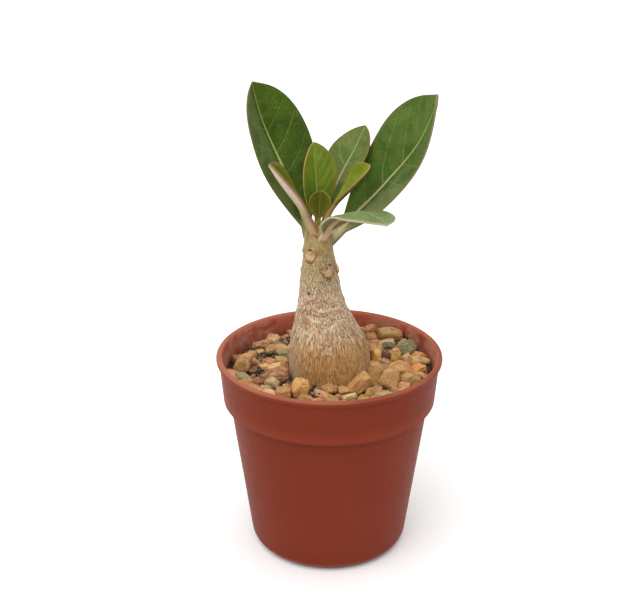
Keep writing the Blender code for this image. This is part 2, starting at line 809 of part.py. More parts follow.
def make_leaves(parts, stem_room):
    for leaf in LEAVES:
        mesh = mesh_from(leaf.name, lambda bm: build_leaf(bm, leaf))
        obj = add_object(leaf.name, mesh, parts)
        boolean(obj, "DIFFERENCE", stem_room)
        finish(obj, "young_leaf" if leaf.name in YOUNG_LEAVES else "leaf", 50.0)


def main():
    clear_scene()
    parts = new_collection("potted_desert_rose")
    cutters = new_collection("cutters")
    stem_room = as_cutter(stem_shape("stem_room", GAP, cutters))
    make_pot(parts, cutters)
    make_soil(parts, stem_room)
    make_gravel(parts, cutters, stem_room)
    make_stem(parts)
    make_leaves(parts, stem_room)


main()
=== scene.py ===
"""A young desert rose in a round plastic nursery pot, dressed for rendering.

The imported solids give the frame. Each piece here stands where its solid stands, with the
same main sizes and finer surfaces. Everything is in metres, with +Z up.
"""

import itertools
import math
import random
from collections import namedtuple

import bmesh
import bpy
import numpy as np
from mathutils import Matrix, Vector, noise


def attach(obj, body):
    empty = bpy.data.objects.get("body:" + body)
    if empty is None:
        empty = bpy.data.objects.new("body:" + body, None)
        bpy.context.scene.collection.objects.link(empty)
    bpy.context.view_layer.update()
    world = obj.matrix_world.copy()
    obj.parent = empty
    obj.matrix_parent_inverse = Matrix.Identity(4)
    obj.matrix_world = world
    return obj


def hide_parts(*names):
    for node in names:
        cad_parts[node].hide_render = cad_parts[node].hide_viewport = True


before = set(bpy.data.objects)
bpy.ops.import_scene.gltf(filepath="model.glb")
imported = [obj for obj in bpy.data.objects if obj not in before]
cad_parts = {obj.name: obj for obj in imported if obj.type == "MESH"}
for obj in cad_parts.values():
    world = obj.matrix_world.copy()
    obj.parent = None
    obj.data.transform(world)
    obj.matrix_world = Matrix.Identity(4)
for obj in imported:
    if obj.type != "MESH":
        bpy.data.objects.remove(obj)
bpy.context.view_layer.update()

MM = 0.001

# Camera
CAMERA_LENS = 65.3
CAMERA_SENSOR = 36.0
CAMERA_PLACE = (-0.0046, -0.3941, 0.2582)
CAMERA_TURN = (math.radians(68.0), 0.0, 0.0)

# Studio: a pale floor under a soft sky that brightens upwards, and a wide soft sun
FLOOR_REACH = 4.0
SKY_RISE = (0.35, 0.95)
SKY_STRENGTH = (0.76, 1.64)
SUN_FROM = (-0.40, -0.60, 1.0)
SUN_ANGLE = math.radians(50.0)
SUN_STRENGTH = 1.15

# Pot: a thin moulded wall with a rolled lip, a straight collar and a tapering body
POT_HEIGHT = 78.0 * MM
POT_RADIUS = 42.5 * MM
POT_WALL = 1.2 * MM
POT_STEPS = 192
LIP_RADIUS = 1.35 * MM
COLLAR_FOOT_HEIGHT = 60.1 * MM
COLLAR_FOOT_RADIUS = 40.1 * MM
COLLAR_ROUNDING = 0.35 * MM
SHOULDER_RADIUS = 37.5 * MM
SHOULDER_CURVE = 2.2 * MM
FOOT_RADIUS = 30.4 * MM
FOOT_FILLET = 5.2 * MM
FOOT_RING_INNER = 21.5 * MM
FOOT_RECESS = 1.5 * MM
FOOT_ARC = -8
LIP_ARC = (80, -80)
# The lip's inner side: where it starts, how far it reaches and rises, and its angles
INNER_LIP_RADIUS = POT_RADIUS - 1.85 * LIP_RADIUS
INNER_LIP_REACH = 1.4 * MM
INNER_LIP_RISE = 2.0 * MM
INNER_LIP_ARC = (160, 145, 130, 115, 100)
DRAIN_HOLES = 6
DRAIN_RADIUS = 3.0 * MM
DRAIN_CIRCLE = 14.0 * MM
DRAIN_CUT = 5.0 * POT_WALL
DRAIN_SIDES = 40
# The longest stretch between two rows of points, and how uneven the moulding is
POT_ROW = 3.0 * MM
MOULD_UNEVEN = 0.06 * MM
SHARP_EDGE = math.radians(50.0)

# Gravel
SOIL_TOP = 62.5 * MM
GRAVEL_LEVEL = 71.0 * MM
GRAVEL_TILT = (0.030, 0.018)
GRAVEL_INNER = 15.6 * MM
GRAVEL_OUTER = 39.0 * MM
# The bed of potting mix under the stones
BED_DEPTH = 1.9 * MM
BED_INNER = GRAVEL_INNER - 3.0 * MM
BED_OUTER = GRAVEL_OUTER - 0.2 * MM
BED_LUMPS = 0.55 * MM
BED_ROWS = 30
BED_STEPS = 240
# Stones drawn at random: width and height are shares of the length, and how deep the
# middle sinks is a share of the height
STONE_SEED = 7
FILL_STONES = 92
STONE_TRIES = 40
FILL_LENGTH = (6.2 * MM, 8.8 * MM)
FILL_WIDTH_SHARE = (0.68, 0.95)
FILL_HEIGHT_SHARE = (0.62, 0.85)
FILL_SUNK_SHARE = 0.26
FILL_INNER = GRAVEL_INNER + 0.8 * MM
FILL_OUTER = GRAVEL_OUTER - 2.4 * MM
# The form of a stone: how far out its sides and its cut corners lie, how far it leans, and
# its size for the lengths given; small ones get fewer triangles
STONE_SIDES = (0.80, 0.96)
STONE_CORNERS = (0.92, 1.16)
STONE_LEAN = 0.3
STONE_FULLNESS = 0.50
SMALL_STONE = 4.5 * MM
STONE_SHADE = 0.90
# Stones get a painted shade below the gravel's level, for the shadow in the gaps between
# them: where it starts above the level, and over which depth it grows
PAINTED_SHADE_TOP = 0.6 * MM
PAINTED_SHADE_DEPTH = 2.6 * MM
WALL_ROOM = 0.25 * MM
# Small chips, and how far they lie above the bed
CHIP_SEED = 23
CHIPS = 150
CHIP_LENGTH = (1.6 * MM, 3.8 * MM)
CHIP_INNER = GRAVEL_INNER - 1.0 * MM
CHIP_OUTER = GRAVEL_OUTER - 1.2 * MM
CHIP_LIFT = (-0.3 * MM, 0.7 * MM)

Stone = namedtuple("Stone", "x y lift length width height turn raised main second")
# Stones that stand out: across, away from the front, middle above the gravel's level,
# length, width, height, how far the right end is raised and two colours
STONE_PLACES = (
    (-32.9, 2.6, 1.2, 10.2, 5.6, 5.6, 60, "tan", "buff"),
    (-27.1, 20.2, 0.2, 7.2, 5.4, 4.4, 4, "tan", "ochre"),
    (-27.1, 15.2, -0.6, 4.4, 3.8, 3.6, 10, "yellow", "honey"),
    (-22.3, 22.0, -1.1, 2.7, 2.6, 2.6, 0, "orange", "tan"),
    (-19.5, 21.6, -0.6, 3.4, 3.4, 3.6, 0, "sage", "green"),
    (-17.9, 13.7, -0.6, 4.4, 3.8, 3.6, -10, "green", "sage"),
    (-17.3, 30.6, -1.2, 3.6, 3.0, 2.3, 8, "salmon", "cream"),
    (-21.8, 15.5, -0.8, 3.4, 3.2, 3.2, 30, "dark_brown", "cream"),
    (-25.7, 5.9, -1.3, 4.8, 3.4, 2.2, 0, "salmon", "rosy_brown"),
    (-27.8, 0.9, -1.0, 5.7, 4.1, 2.8, 0, "rosy_brown", "ochre"),
    (-32.7, -5.3, -0.6, 6.3, 4.6, 3.4, -12, "lichen", "sage"),
    (-27.9, -3.8, -1.1, 3.2, 2.9, 2.5, 0, "tan", "ochre"),
    (-26.4, -8.5, -0.9, 5.9, 4.3, 3.0, 0, "ochre", "russet"),
    (-20.6, 1.2, -0.3, 8.0, 5.5, 3.7, 18, "buff", "yellow"),
    (-18.8, -5.5, 0.3, 8.2, 5.8, 6.0, -8, "rosy_brown", "tan"),
    (-16.8, 2.1, 0.3, 3.4, 4.1, 5.3, 0, "tan", "honey"),
    (-21.1, -11.0, -0.3, 5.7, 4.6, 4.1, -15, "cream", "tan"),
    (-23.5, -15.4, -0.6, 5.3, 4.2, 3.5, -15, "buff", "salmon"),
    (-28.5, -11.9, -1.2, 6.5, 4.3, 2.2, -8, "orange", "salmon"),
    (-16.4, -12.5, -1.3, 2.3, 2.3, 2.2, 0, "cream", "buff"),
    (-16.6, -19.9, 0.0, 6.3, 5.1, 4.7, -15, "tan", "buff"),
    (-10.9, -19.4, 1.6, 6.0, 6.0, 8.2, -4, "yellow", "orange"),
    (0.1, -17.4, -0.3, 7.2, 5.3, 4.2, -4, "tan", "ochre"),
    (-0.8, -23.6, -0.6, 4.8, 3.9, 3.5, 0, "tan", "yellow"),
    (-4.2, -25.2, -0.9, 5.0, 3.9, 3.1, 0, "orange", "salmon"),
    (2.8, -22.6, -1.0, 3.4, 3.0, 2.7, 0, "tan", "honey"),
    (5.4, -18.6, -0.6, 4.2, 3.7, 3.6, 0, "honey", "tan"),
    (7.1, -23.8, -0.6, 5.9, 4.4, 3.4, 14, "cream", "buff"),
    (11.0, -16.9, 1.3, 11.4, 6.6, 6.2, 36, "tan", "yellow"),
    (17.1, 30.4, 0.9, 5.3, 5.0, 5.6, 0, "orange", "bright_orange"),
    (24.7, 25.3, 1.5, 9.8, 6.4, 6.2, -6, "yellow", "ochre"),
    (18.6, 22.7, -0.9, 6.3, 4.4, 2.9, 6, "orange", "tan"),
    (23.2, 17.2, -0.3, 6.2, 4.4, 3.9, -12, "grey_green", "sage"),
    (29.8, 13.3, 0.3, 10.8, 6.4, 5.2, 20, "olive", "lichen"),
    (16.7, 6.6, 1.3, 3.0, 4.7, 7.3, 0, "honey", "tan"),
    (17.9, 4.8, 1.5, 3.8, 5.2, 7.7, 0, "yellow", "honey"),
    (21.7, 7.8, 0.2, 4.0, 4.3, 5.3, -8, "plum", "russet"),
    (25.6, 5.4, 1.1, 4.2, 5.1, 7.1, -3, "yellow", "honey"),
    (28.7, 4.5, -0.5, 2.9, 3.3, 4.1, -25, "tan", "honey"),
    (30.5, 4.1, -0.6, 2.3, 2.9, 3.7, 0, "ochre", "tan"),
    (34.7, 4.9, -0.6, 6.7, 4.8, 3.6, -4, "yellow", "cream"),
    (33.9, -3.1, -0.2, 6.5, 5.1, 4.5, 0, "bright_orange", "orange"),
    (27.1, -3.5, 0.2, 9.5, 6.6, 4.9, -10, "tan", "honey"),
    (21.7, 0.4, -0.8, 3.0, 3.1, 3.2, 0, "yellow", "buff"),
    (17.6, -10.5, 1.4, 5.3, 5.8, 7.6, -8, "honey", "tan"),
    (22.2, -14.2, 1.5, 8.0, 6.6, 7.8, 0, "tan", "buff"),
    (30.1, -11.2, -0.1, 8.0, 5.8, 4.6, 4, "tan", "honey"),
    (27.0, -16.7, -0.6, 5.9, 4.4, 3.4, 10, "tan", "orange"),
    (16.2, -20.7, -0.1, 7.2, 5.4, 4.4, 12, "tan", "ochre"),
    (21.2, -19.0, -1.2, 4.6, 3.4, 2.2, 10, "tan", "yellow"),
)
STONE_COLOURS = {
    "tan": (190, 140, 84),
    "buff": (212, 172, 116),
    "yellow": (208, 164, 94),
    "honey": (190, 144, 76),
    "ochre": (146, 96, 52),
    "orange": (204, 140, 82),
    "bright_orange": (226, 150, 84),
    "salmon": (204, 144, 112),
    "rosy_brown": (156, 98, 70),
    "russet": (118, 64, 40),
    "plum": (132, 86, 66),
    "dark_brown": (84, 58, 38),
    "cream": (208, 178, 128),
    "lichen": (150, 140, 100),
    "sage": (136, 124, 90),
    "green": (128, 134, 96),
    "grey_green": (122, 112, 80),
    "olive": (112, 102, 66),
}
FILL_COLOURS = (
    ("tan", "ochre"), ("tan", "buff"), ("tan", "honey"), ("honey", "tan"), ("yellow", "honey"),
    ("buff", "tan"), ("orange", "tan"), ("rosy_brown", "tan"), ("ochre", "tan"),
    ("cream", "buff"), ("salmon", "tan"), ("tan", "rosy_brown"),
)
# Low places where the potting mix shows: across, away from the front, length and width
SOIL_PATCHES = (
    (-17.0, 24.0, 2.2, 8.0),
    (-25.2, 11.4, 9.4, 6.5),
    (-25.2, -1.9, 4.4, 5.8),
    (-5.9, -17.2, 4.4, 10.2),
    (28.0, 24.0, 8.0, 5.1),
    (-15.9, -10.3, 2.9, 5.8),
    (-30.1, 16.6, 1.8, 5.8),
)
# Bits of bark: how many lie on a square millimetre, and how far above the gravel's level
BIT_SEED = 5
BITS_PER_AREA = 1.25
BIT_LENGTH = (0.8 * MM, 2.6 * MM)
BIT_SPREAD = 0.55
BIT_LIFT = (-1.7 * MM, 0.5 * MM)
BIT_COLOURS = ((48, 32, 22), (62, 44, 30), (38, 28, 22), (98, 70, 44), (132, 108, 78))

# Stem, swollen base and root: height, radius and how far the middle lies across
STEM_FORM = (
    (24.0, 1.0, 1.2),
    (32.0, 2.4, 0.8),
    (42.0, 5.0, 0.4),
    (52.0, 9.2, 0.4),
    (60.0, 13.0, 0.4),
    (67.0, 15.1, 0.4),
    (74.0, 15.4, 0.1),
    (79.5, 14.8, -0.4),
    (85.0, 13.5, -1.0),
    (90.0, 11.4, -1.9),
    (95.0, 9.5, -2.8),
    (100.0, 8.2, -3.4),
    (106.0, 7.3, -3.8),
    (112.0, 6.4, -4.0),
    (117.0, 5.7, -4.1),
    (121.0, 5.3, -4.1),
    (124.5, 5.1, -4.1),
    (126.8, 4.2, -4.1),
    (128.4, 2.6, -4.1),
    (129.3, 0.9, -4.1),
)
STEM_TOP_ACROSS = -4.1 * MM
RIDGES = ((98.0, 0.16), (94.2, 0.20), (91.4, 0.22), (105.6, 0.12))
RIDGE_HALF_HEIGHT = 1.0 * MM
RIDGE_WAVE = 0.6 * MM
LOBES = 3
LOBE_HEIGHT = 0.35 * MM
LOBE_TURN = 0.7
LOBES_FADE_IN = 8.0 * MM
LOBES_END = 118.0 * MM
LOBES_FADE_OUT = 4.0 * MM
# Leaf scars: height, side in degrees, half their width, how far they stand out, half their
# height, how the rim slopes up sideways and how round its lower end is
SCARS = (
    (117.8, 236, 2.8, 0.80, 2.4, 0.00, 2.2),
    (111.8, 305, 3.1, 0.80, 2.7, 0.18, 1.15),
    (102.5, 240, 2.9, 0.50, 1.2, 0.00, 2.0),
    (118.9, 176, 1.3, 0.60, 1.2, 0.00, 1.6),
    (111.5, 355, 1.9, 0.85, 1.6, 0.00, 1.6),
    (111.0, 180, 0.9, 0.50, 0.8, 0.00, 1.6),
    (115.4, 96, 2.4, 0.75, 2.1, 0.10, 1.5),
    (108.4, 48, 2.2, 0.65, 1.9, -0.10, 1.6),
    (105.2, 140, 2.2, 0.60, 1.8, 0.00, 1.8),
    (118.0, 52, 1.7, 0.60, 1.5, 0.10, 1.6),
    (99.6, 20, 1.9, 0.45, 1.2, 0.00, 1.9),
)
# A scar's swelling and rim, and its pad which lies deeper, as shares of how far it stands out
SCAR_SWELLING = 0.55
SCAR_RIM = 0.32
SCAR_PAD = 0.12
# Marks on the stem: height, side, half across and half up
PITS = (
    (119.9, 236, 0.85, 0.52), (113.2, 301, 0.50, 0.45), (114.2, 314.5, 0.75, 0.50),
    (103.9, 239.5, 0.90, 0.45), (98.8, 304, 0.40, 0.40), (117.3, 96, 0.50, 0.40),
    (110.2, 48, 0.50, 0.40), (107.0, 140, 0.50, 0.40), (119.4, 52, 0.40, 0.35),
    (101.1, 20, 0.50, 0.35),
)
PATCHES = ((93.8, 233, 2.2, 1.15),)
MARKS = (
    (121.6, 328, 0.50, 0.42), (122.5, 329.5, 0.50, 0.42), (123.4, 328.5, 0.50, 0.42),
    (124.3, 330, 0.50, 0.42), (125.4, 220, 0.35, 1.40), (125.2, 262, 0.90, 0.40),
    (118.3, 268, 0.90, 0.32), (123.9, 286, 1.60, 0.36), (124.8, 267, 0.34, 0.80),
    (124.8, 305, 0.34, 0.80), (118.9, 178, 0.60, 0.60), (111.0, 182, 0.50, 0.50),
)
HOLLOWS = (
    (96.2, 264, 3.4, 0.50), (95.9, 300, 1.3, 0.40), (92.9, 276, 1.0, 0.50), (96.0, 80, 4.0, 0.45),
    (93.0, 160, 2.4, 0.45),
)
PALE_RIDGES = (
    (97.9, 272, 2.0, 0.45), (98.0, 290, 2.6, 0.50), (98.1, 310, 2.4, 0.45), (98.2, 326, 1.6, 0.40),
    (94.1, 250, 1.9, 0.50), (94.2, 262, 1.2, 0.45), (91.5, 283, 1.1, 0.60), (92.0, 291, 1.6, 0.55),
    (92.9, 301, 1.9, 0.50), (93.6, 311, 1.6, 0.45), (98.1, 110, 3.2, 0.45), (94.4, 60, 2.8, 0.50),
    (92.0, 150, 2.0, 0.55), (96.8, 195, 1.8, 0.45), (94.0, 20, 1.6, 0.50),
)
# How deep pits and hollows are, and how far patches and pale ridges stand out
PIT_DEPTH = 0.30 * MM
HOLLOW_DEPTH = 0.10 * MM
PATCH_HEIGHT = 0.18 * MM
PALE_RIDGE_HEIGHT = 0.22 * MM
# Rings of points, a little closer together at the top of the stem
STEM_STEPS = 520
SWOLLEN_RINGS = 160
STEM_RINGS = 150
STEM_BUNCHING = 0.97
WAIST = 96.0 * MM
BARK_FROM = 66.0 * MM
ROOT_POINT = 1.0 * MM
STEM_POINT = 0.4 * MM
TIP_FADE = 3.0 * MM
# Furrows of the bark: how far apart and deep, how wide and where they fade, and how the
# pattern climbs, in steps of its own, and how far out it is read, by the height
FURROW_SEED = 5
FURROW_GAP = 0.72 * MM
FURROW_DEPTH = 0.09 * MM
FURROW_WIDTH = 0.22
FURROWS_FADE_IN = 2.0 * MM
FURROWS_FADE_OUT = 14.0 * MM
FURROWS_END = 116.0 * MM
FURROW_CLIMB = ((0.060, 0.0), (0.090, 8.0), (0.098, 12.0), (0.106, 20.0), (0.130, 54.0))
FURROW_REACH = ((0.090, 0.0130), (0.104, 0.0085))
# The bark's tones from the gravel up: the heights over which each takes over from the one
# before, the scale and detail of its clouds and its two colours
BARK_TONES = (
    (None, (110.0, 3.0), (156, 113, 62), (174, 132, 80)),
    ((79.0, 91.0), (150.0, 4.0), (158, 126, 91), (180, 149, 115)),
    ((100.0, 108.0), (220.0, 4.0), (138, 116, 82), (159, 138, 102)),
    ((107.0, 113.0), (220.0, 4.0), (132, 110, 68), (156, 134, 92)),
    ((116.0, 120.0), (260.0, 4.0), (134, 110, 62), (160, 136, 84)),
)
# Its light and dark lines, likewise
LIGHT_LINES = (
    (None, (214, 176, 122)), ((78.0, 91.0), (234, 216, 190)), ((102.0, 112.0), (208, 188, 146)),
)
DARK_LINES = (
    (None, (106, 70, 34)), ((78.0, 91.0), (104, 76, 56)), ((102.0, 112.0), (104, 78, 48)),
)

# Leaves. The foot is a height and a side of the stem in degrees; the heading turns along
# the leaf; the rise is given at the foot and the tip, with a bow added between; the size
# is length and half width; the fold lies along the midrib and the roll turns about it;
# bare is the share of the length with no blade, and outline shapes its margin.
Leaf = namedtuple("Leaf", "name foot heading turn rise size fold roll stalk bare outline")
LEAVES = (
    Leaf(
        "leaf_large_left", foot=(123.0, 155), heading=134, turn=18, rise=(71, -14, 77),
        size=(59.1, 14.2), fold=26, roll=(-28, -9), stalk=1.8, bare=0.02, outline=(1.00, 0.58),
    ),
    Leaf(
        "leaf_large_right", foot=(121.2, 6), heading=4, turn=-9, rise=(44, -2, 70),
        size=(65.9, 17.0), fold=15, roll=(34, 20), stalk=1.8, bare=0.05, outline=(1.13, 0.62),
    ),
    Leaf(
        "leaf_back", foot=(125.4, 62), heading=52, turn=-11, rise=(73, -10, 54),
        size=(41.3, 9.5), fold=11, roll=(3, -4), stalk=1.2, bare=0.11, outline=(1.11, 0.66),
    ),
    Leaf(
        "leaf_upright", foot=(126.9, 98), heading=107, turn=14, rise=(92, 9, 68),
        size=(30.7, 7.3), fold=19, roll=(0, 5), stalk=1.1, bare=0.06, outline=(0.96, 0.69),
    ),
    Leaf(
        "leaf_youngest", foot=(128.3, 277), heading=79, turn=-4, rise=(92, -14, 88),
        size=(12.7, 4.4), fold=28, roll=(10, 15), stalk=0.8, bare=0.13, outline=(1.18, 0.60),
    ),
    Leaf(
        "leaf_trough_left", foot=(125.6, 246), heading=207, turn=-8, rise=(74, -15, 63),
        size=(32.3, 5.5), fold=37, roll=(6, -27), stalk=1.7, bare=0.09, outline=(1.17, 0.41),
    ),
    Leaf(
        "leaf_trough_right", foot=(126.5, -42), heading=-14, turn=15, rise=(92, -34, 68),
        size=(30.0, 5.4), fold=40, roll=(-12, 32), stalk=1.2, bare=0.18, outline=(1.60, 0.40),
    ),
    Leaf(
        "leaf_arching", foot=(124.2, -72), heading=-45, turn=-15, rise=(60, -2, -14),
        size=(41.4, 11.0), fold=-5, roll=(-4, -5), stalk=1.7, bare=0.02, outline=(0.94, 0.67),
    ),
)
LEAF_THICKNESS = 0.75 * MM
# Rows and columns of points, closer together at the tip and at the midrib
LEAF_ROWS = 120
SMALL_LEAF_ROWS = 80
SMALL_LEAF = 40.0
ROW_BUNCHING = 1.25
LEAF_HALF_COLUMNS = 24
COLUMN_BUNCHING = 1.3
# The stalk: its thickness at the tip against the foot, how soon it thins, its width against
# its thickness and over how many of its thicknesses the blade sets in
STALK_TIP_SHARE = 0.28
STALK_THINNING = 0.8
STALK_WIDTH_SHARE = 1.2
BLADE_ONSET = 2.5
# The stalk's foot in its seat in the stem
SEAT_DEPTH = 1.0 * MM
HEEL_DEPTH = 2.4 * MM
HEEL_DROP = 1.8 * MM
# How steeply a blade widens from its tip, and how sharply its outline takes over
TIP_SLOPES = {
    "leaf_large_left": 2.6, "leaf_large_right": 2.4, "leaf_back": 2.2, "leaf_upright": 2.4,
    "leaf_arching": 2.2,
}
TIP_BLEND = 6.0
TIP_TAPER = 0.1
THINNEST_TIP = 0.12 * MM
MARGIN_WIDTH = 0.42 * MM
MARGIN_STEPS = (0.45, 0.8, 1.0)
FOLD_ROUNDING = 1.1 * MM
LEAF_WAVE = 0.028
RIB_SHIFT_MOST = 0.7
# Side veins: how far apart where they are even, in millimetres, and how much further on a
# longer leaf; the width of the groove, its depth and how far the skin swells between
VEIN_GAP = 2.4
VEIN_GAP_GROWTH = 0.075
EVEN_SLOPE = 0.75
EVEN_SWEEP = 0.45
VEIN_WIDTH = 0.42
VEIN_DEPTH = 0.12 * MM
QUILT_HEIGHT = 0.16 * MM
# Looks of the leaves
LEAF_SHADE = 0.89
LEAF_GLOSS = 0.10
# How strongly streaks run along the underside
STREAKS = {"leaf_trough_left": 0.65}
FAINT_STREAKS = 0.22
# How much pale bloom, with a painted sheen, lies on the right half of a blade towards its foot
BLOOM_AND_SHEEN = {"leaf_large_right": 0.60, "leaf_arching": 0.25, "leaf_back": 0.25}
# How much paler the left half of a blade is painted, away from the midrib: a painted sheen
PAINTED_SHEEN = {"leaf_large_left": 0.42}
# How wide the midrib is beneath at the tip, against the stalk
RIB_BELOW_TIP = 0.35
# How much of the stalk's colour runs up the underside
STALK_BELOW = {"leaf_trough_left": 0.65}

# Veins. The midrib wanders sideways by the amounts given at quarters of the length; each
# side has a slope, a sweep and its veins, given by where they start and how strong they are.
Veins = namedtuple("Veins", "rib left right")
VEINS = {
    "leaf_large_left": Veins(
        (0.0, -0.3, -0.7, -1.4, -1.0),
        (0.06, 0.37, ((9, 0.3), (18, 0.3), (26, 0.5), (34, 0.8), (42, 0.6), (49.1, 0.5), (54, 0.2))),
        (0.55, 0.24, ((8, 0.2), (16, 0.3), (24, 0.5), (32.2, 1), (40.4, 0.6), (45.4, 0.3), (50, 0.2))),
    ),
    "leaf_large_right": Veins(
        (0.0, -0.8, 1.0, 4.6, 4.2),
        (0.70, 0.42, ((9, 0.3), (19, 0.4), (28.3, 1.0), (39.2, 0.9), (47.5, 0.3), (54, 0.2))),
        (0.20, 0.16, ((12, 0.3), (21, 0.5), (31.1, 0.9), (39.5, 0.6), (48, 0.3), (56, 0.2))),
    ),
    "leaf_back": Veins(
        (0.0, 0.0, 0.2, 0.9, 0.5),
        (0.48, 0.49, ((10, 0.3), (17, 0.5), (24.3, 0.8), (30.6, 0.7), (35.5, 0.4))),
        (0.15, 0.31, ((12, 0.3), (19, 0.6), (25.3, 0.7), (31, 0.5), (36, 0.3))),
    ),
    "leaf_upright": Veins(
        (0.0, -0.2, -0.6, -1.0, -0.6),
        (1.0, 0.30, ((9, 0.4), (12.8, 0.5), (16.6, 0.7), (21, 0.6), (25, 0.4))),
        (0.9, 0.30, ((8, 0.4), (11.5, 0.5), (15.2, 0.8), (19.3, 0.6), (23.5, 0.4))),
    ),
}

# Colours of one leaf: deep and light green, near the margin, the margin itself, the
# midrib at the foot and the tip, side veins, underside and stalk
Tint = namedtuple("Tint", "deep light rim margin rib_foot rib_tip vein under stalk")
TINTS = {
    "leaf_large_left": Tint(
        (40, 62, 3), (72, 96, 12), (80, 90, 24), (124, 100, 58), (190, 190, 138), (140, 158, 84),
        (120, 146, 66), (104, 120, 64), (186, 190, 126),
    ),
    "leaf_large_right": Tint(
        (56, 86, 18), (92, 116, 42), (100, 108, 48), (138, 122, 86), (202, 184, 146), (156, 172, 114),
        (132, 156, 94), (120, 136, 86), (240, 226, 178),
    ),
    "leaf_back": Tint(
        (74, 96, 34), (108, 124, 56), (118, 108, 54), (146, 124, 74), (206, 184, 150), (156, 166, 106),
        (146, 162, 104), (126, 134, 86), (180, 174, 118),
    ),
    "leaf_upright": Tint(
        (80, 106, 20), (122, 144, 40), (138, 132, 48), (188, 164, 92), (160, 170, 96), (146, 158, 70),
        (138, 160, 58), (130, 146, 70), (168, 174, 96),
    ),
    "leaf_youngest": Tint(
        (64, 72, 10), (98, 102, 22), (128, 116, 36), (178, 154, 74), (126, 100, 52), (124, 112, 42),
        (112, 118, 38), (120, 124, 56), (146, 134, 70),
    ),
    "leaf_trough_left": Tint(
        (84, 104, 18), (120, 134, 34), (154, 130, 62), (158, 116, 80), (232, 218, 198), (154, 150, 76),
        (138, 150, 66), (210, 186, 164), (176, 156, 112),
    ),
    "leaf_trough_right": Tint(
        (96, 124, 20), (142, 158, 44), (162, 146, 54), (186, 152, 92), (172, 170, 92), (150, 152, 66),
        (146, 160, 62), (150, 112, 72), (176, 174, 96),
    ),
    "leaf_arching": Tint(
        (96, 116, 58), (130, 146, 92), (144, 150, 104), (190, 180, 146), (160, 168, 124), (150, 162, 116),
        (152, 168, 118), (100, 92, 46), (214, 178, 146),
    ),
}


def linear(colour):
    """A colour given as 0 to 255 in display values, as the shader wants it."""
    found = []
    for value in colour:
        share = value / 255.0
        found.append(share / 12.92 if share <= 0.04045 else ((share + 0.055) / 1.055) ** 2.4)
    return tuple(found)


class Value:
    """What a node gives. Sums and products of values add nodes of their own."""

    def __init__(self, shading, socket):
        self.shading = shading
        self.socket = socket

    def __add__(self, other):
        return self.shading.math("ADD", self, other)

    def __sub__(self, other):
        return self.shading.math("SUBTRACT", self, other)

    def __rsub__(self, other):
        return self.shading.math("SUBTRACT", other, self)

    def __mul__(self, other):
        return self.shading.math("MULTIPLY", self, other)

    def __truediv__(self, other):
        return self.shading.math("DIVIDE", self, other)

    def __abs__(self):
        return self.shading.math("ABSOLUTE", self)


class Shading:
    """A material whose nodes are added one call at a time."""

    def __init__(self, name):
        self.material = bpy.data.materials.new(name)
        self.material.use_nodes = True
        self.tree = self.material.node_tree
        self.shader = self.tree.nodes["Principled BSDF"]

    def put(self, socket, value):
        if isinstance(value, Value):
            self.tree.links.new(value.socket, socket)
        elif socket.type == "RGBA":
            socket.default_value = (*linear(value), 1.0)
        else:
            socket.default_value = value

    def node(self, kind, output, inputs, **settings):
        made = self.tree.nodes.new(kind)
        for name, value in settings.items():
            setattr(made, name, value)
        for name, value in inputs.items():
            self.put(made.inputs[name], value)
        return Value(self, made.outputs[output])

    def attribute(self, name, output="Fac"):
        return self.node("ShaderNodeAttribute", output, {}, attribute_name=name)

    def split(self, vector):
        first = self.node("ShaderNodeSeparateXYZ", 0, {0: vector})
        return [Value(self, socket) for socket in first.socket.node.outputs]

    def place(self):
        """The place on the object."""
        return self.node("ShaderNodeTexCoord", "Object", {})

    def stretch(self, vector, scale):
        return self.node("ShaderNodeVectorMath", 0, {0: vector, 1: scale}, operation="MULTIPLY")

    def math(self, operation, a, b=0.0):
        return self.node("ShaderNodeMath", 0, {0: a, 1: b}, operation=operation)

    def noise(self, vector, scale, detail=3.0, roughness=0.55, distortion=0.0):
        inputs = {
            "Vector": vector, "Scale": scale, "Detail": detail, "Roughness": roughness,
            "Distortion": distortion,
        }
        return self.node("ShaderNodeTexNoise", "Fac", inputs)

    def grain(self, upright, scale, detail=3.0, roughness=0.55, distortion=0.0):
        """Noise over the object, drawn out upwards where upright is below 1."""
        place = self.stretch(self.place(), (1.0, 1.0, upright))
        return self.noise(place, scale, detail, roughness, distortion)

    def cells(self, vector, scale, feature="F1"):
        inputs = {"Vector": vector, "Scale": scale}
        return self.node("ShaderNodeTexVoronoi", "Distance", inputs, feature=feature)

    def ease(self, value, start, end, low=0.0, high=1.0):
        """A smooth change from low to high as the value goes from start to end."""
        inputs = {
            "Value": value, "From Min": start, "From Max": end, "To Min": low, "To Max": high,
        }
        return self.node("ShaderNodeMapRange", "Result", inputs, interpolation_type="SMOOTHSTEP")

    def rise(self, height, start, end, low=0.0, high=1.0):
        """The same change over a height that is given in millimetres."""
        return self.ease(height, start * MM, end * MM, low, high)

    def blend(self, share, a, b):
        return self.node("ShaderNodeMix", 2, {0: share, 6: a, 7: b}, data_type="RGBA")

    def clouds(self, pattern, deep, pale):
        """Two colours in soft clouds."""
        return self.blend(self.ease(pattern, 0.3, 0.7), deep, pale)

    def layers(self, base, *rows):
        """Colours over the base, in rows of a pattern, its start and end, a share and a colour."""
        for pattern, start, end, share, colour in rows:
            base = self.blend(self.ease(pattern, start, end, 0.0, share), base, colour)
        return base

    def bump(self, height, distance, strength=1.0):
        inputs = {"Height": height, "Distance": distance, "Strength": strength}
        return self.node("ShaderNodeBump", "Normal", inputs)

    def surface(self, **inputs):
        for name, value in inputs.items():
            self.put(self.shader.inputs[name.replace("_", " ")], value)
        return self.material


# Materials


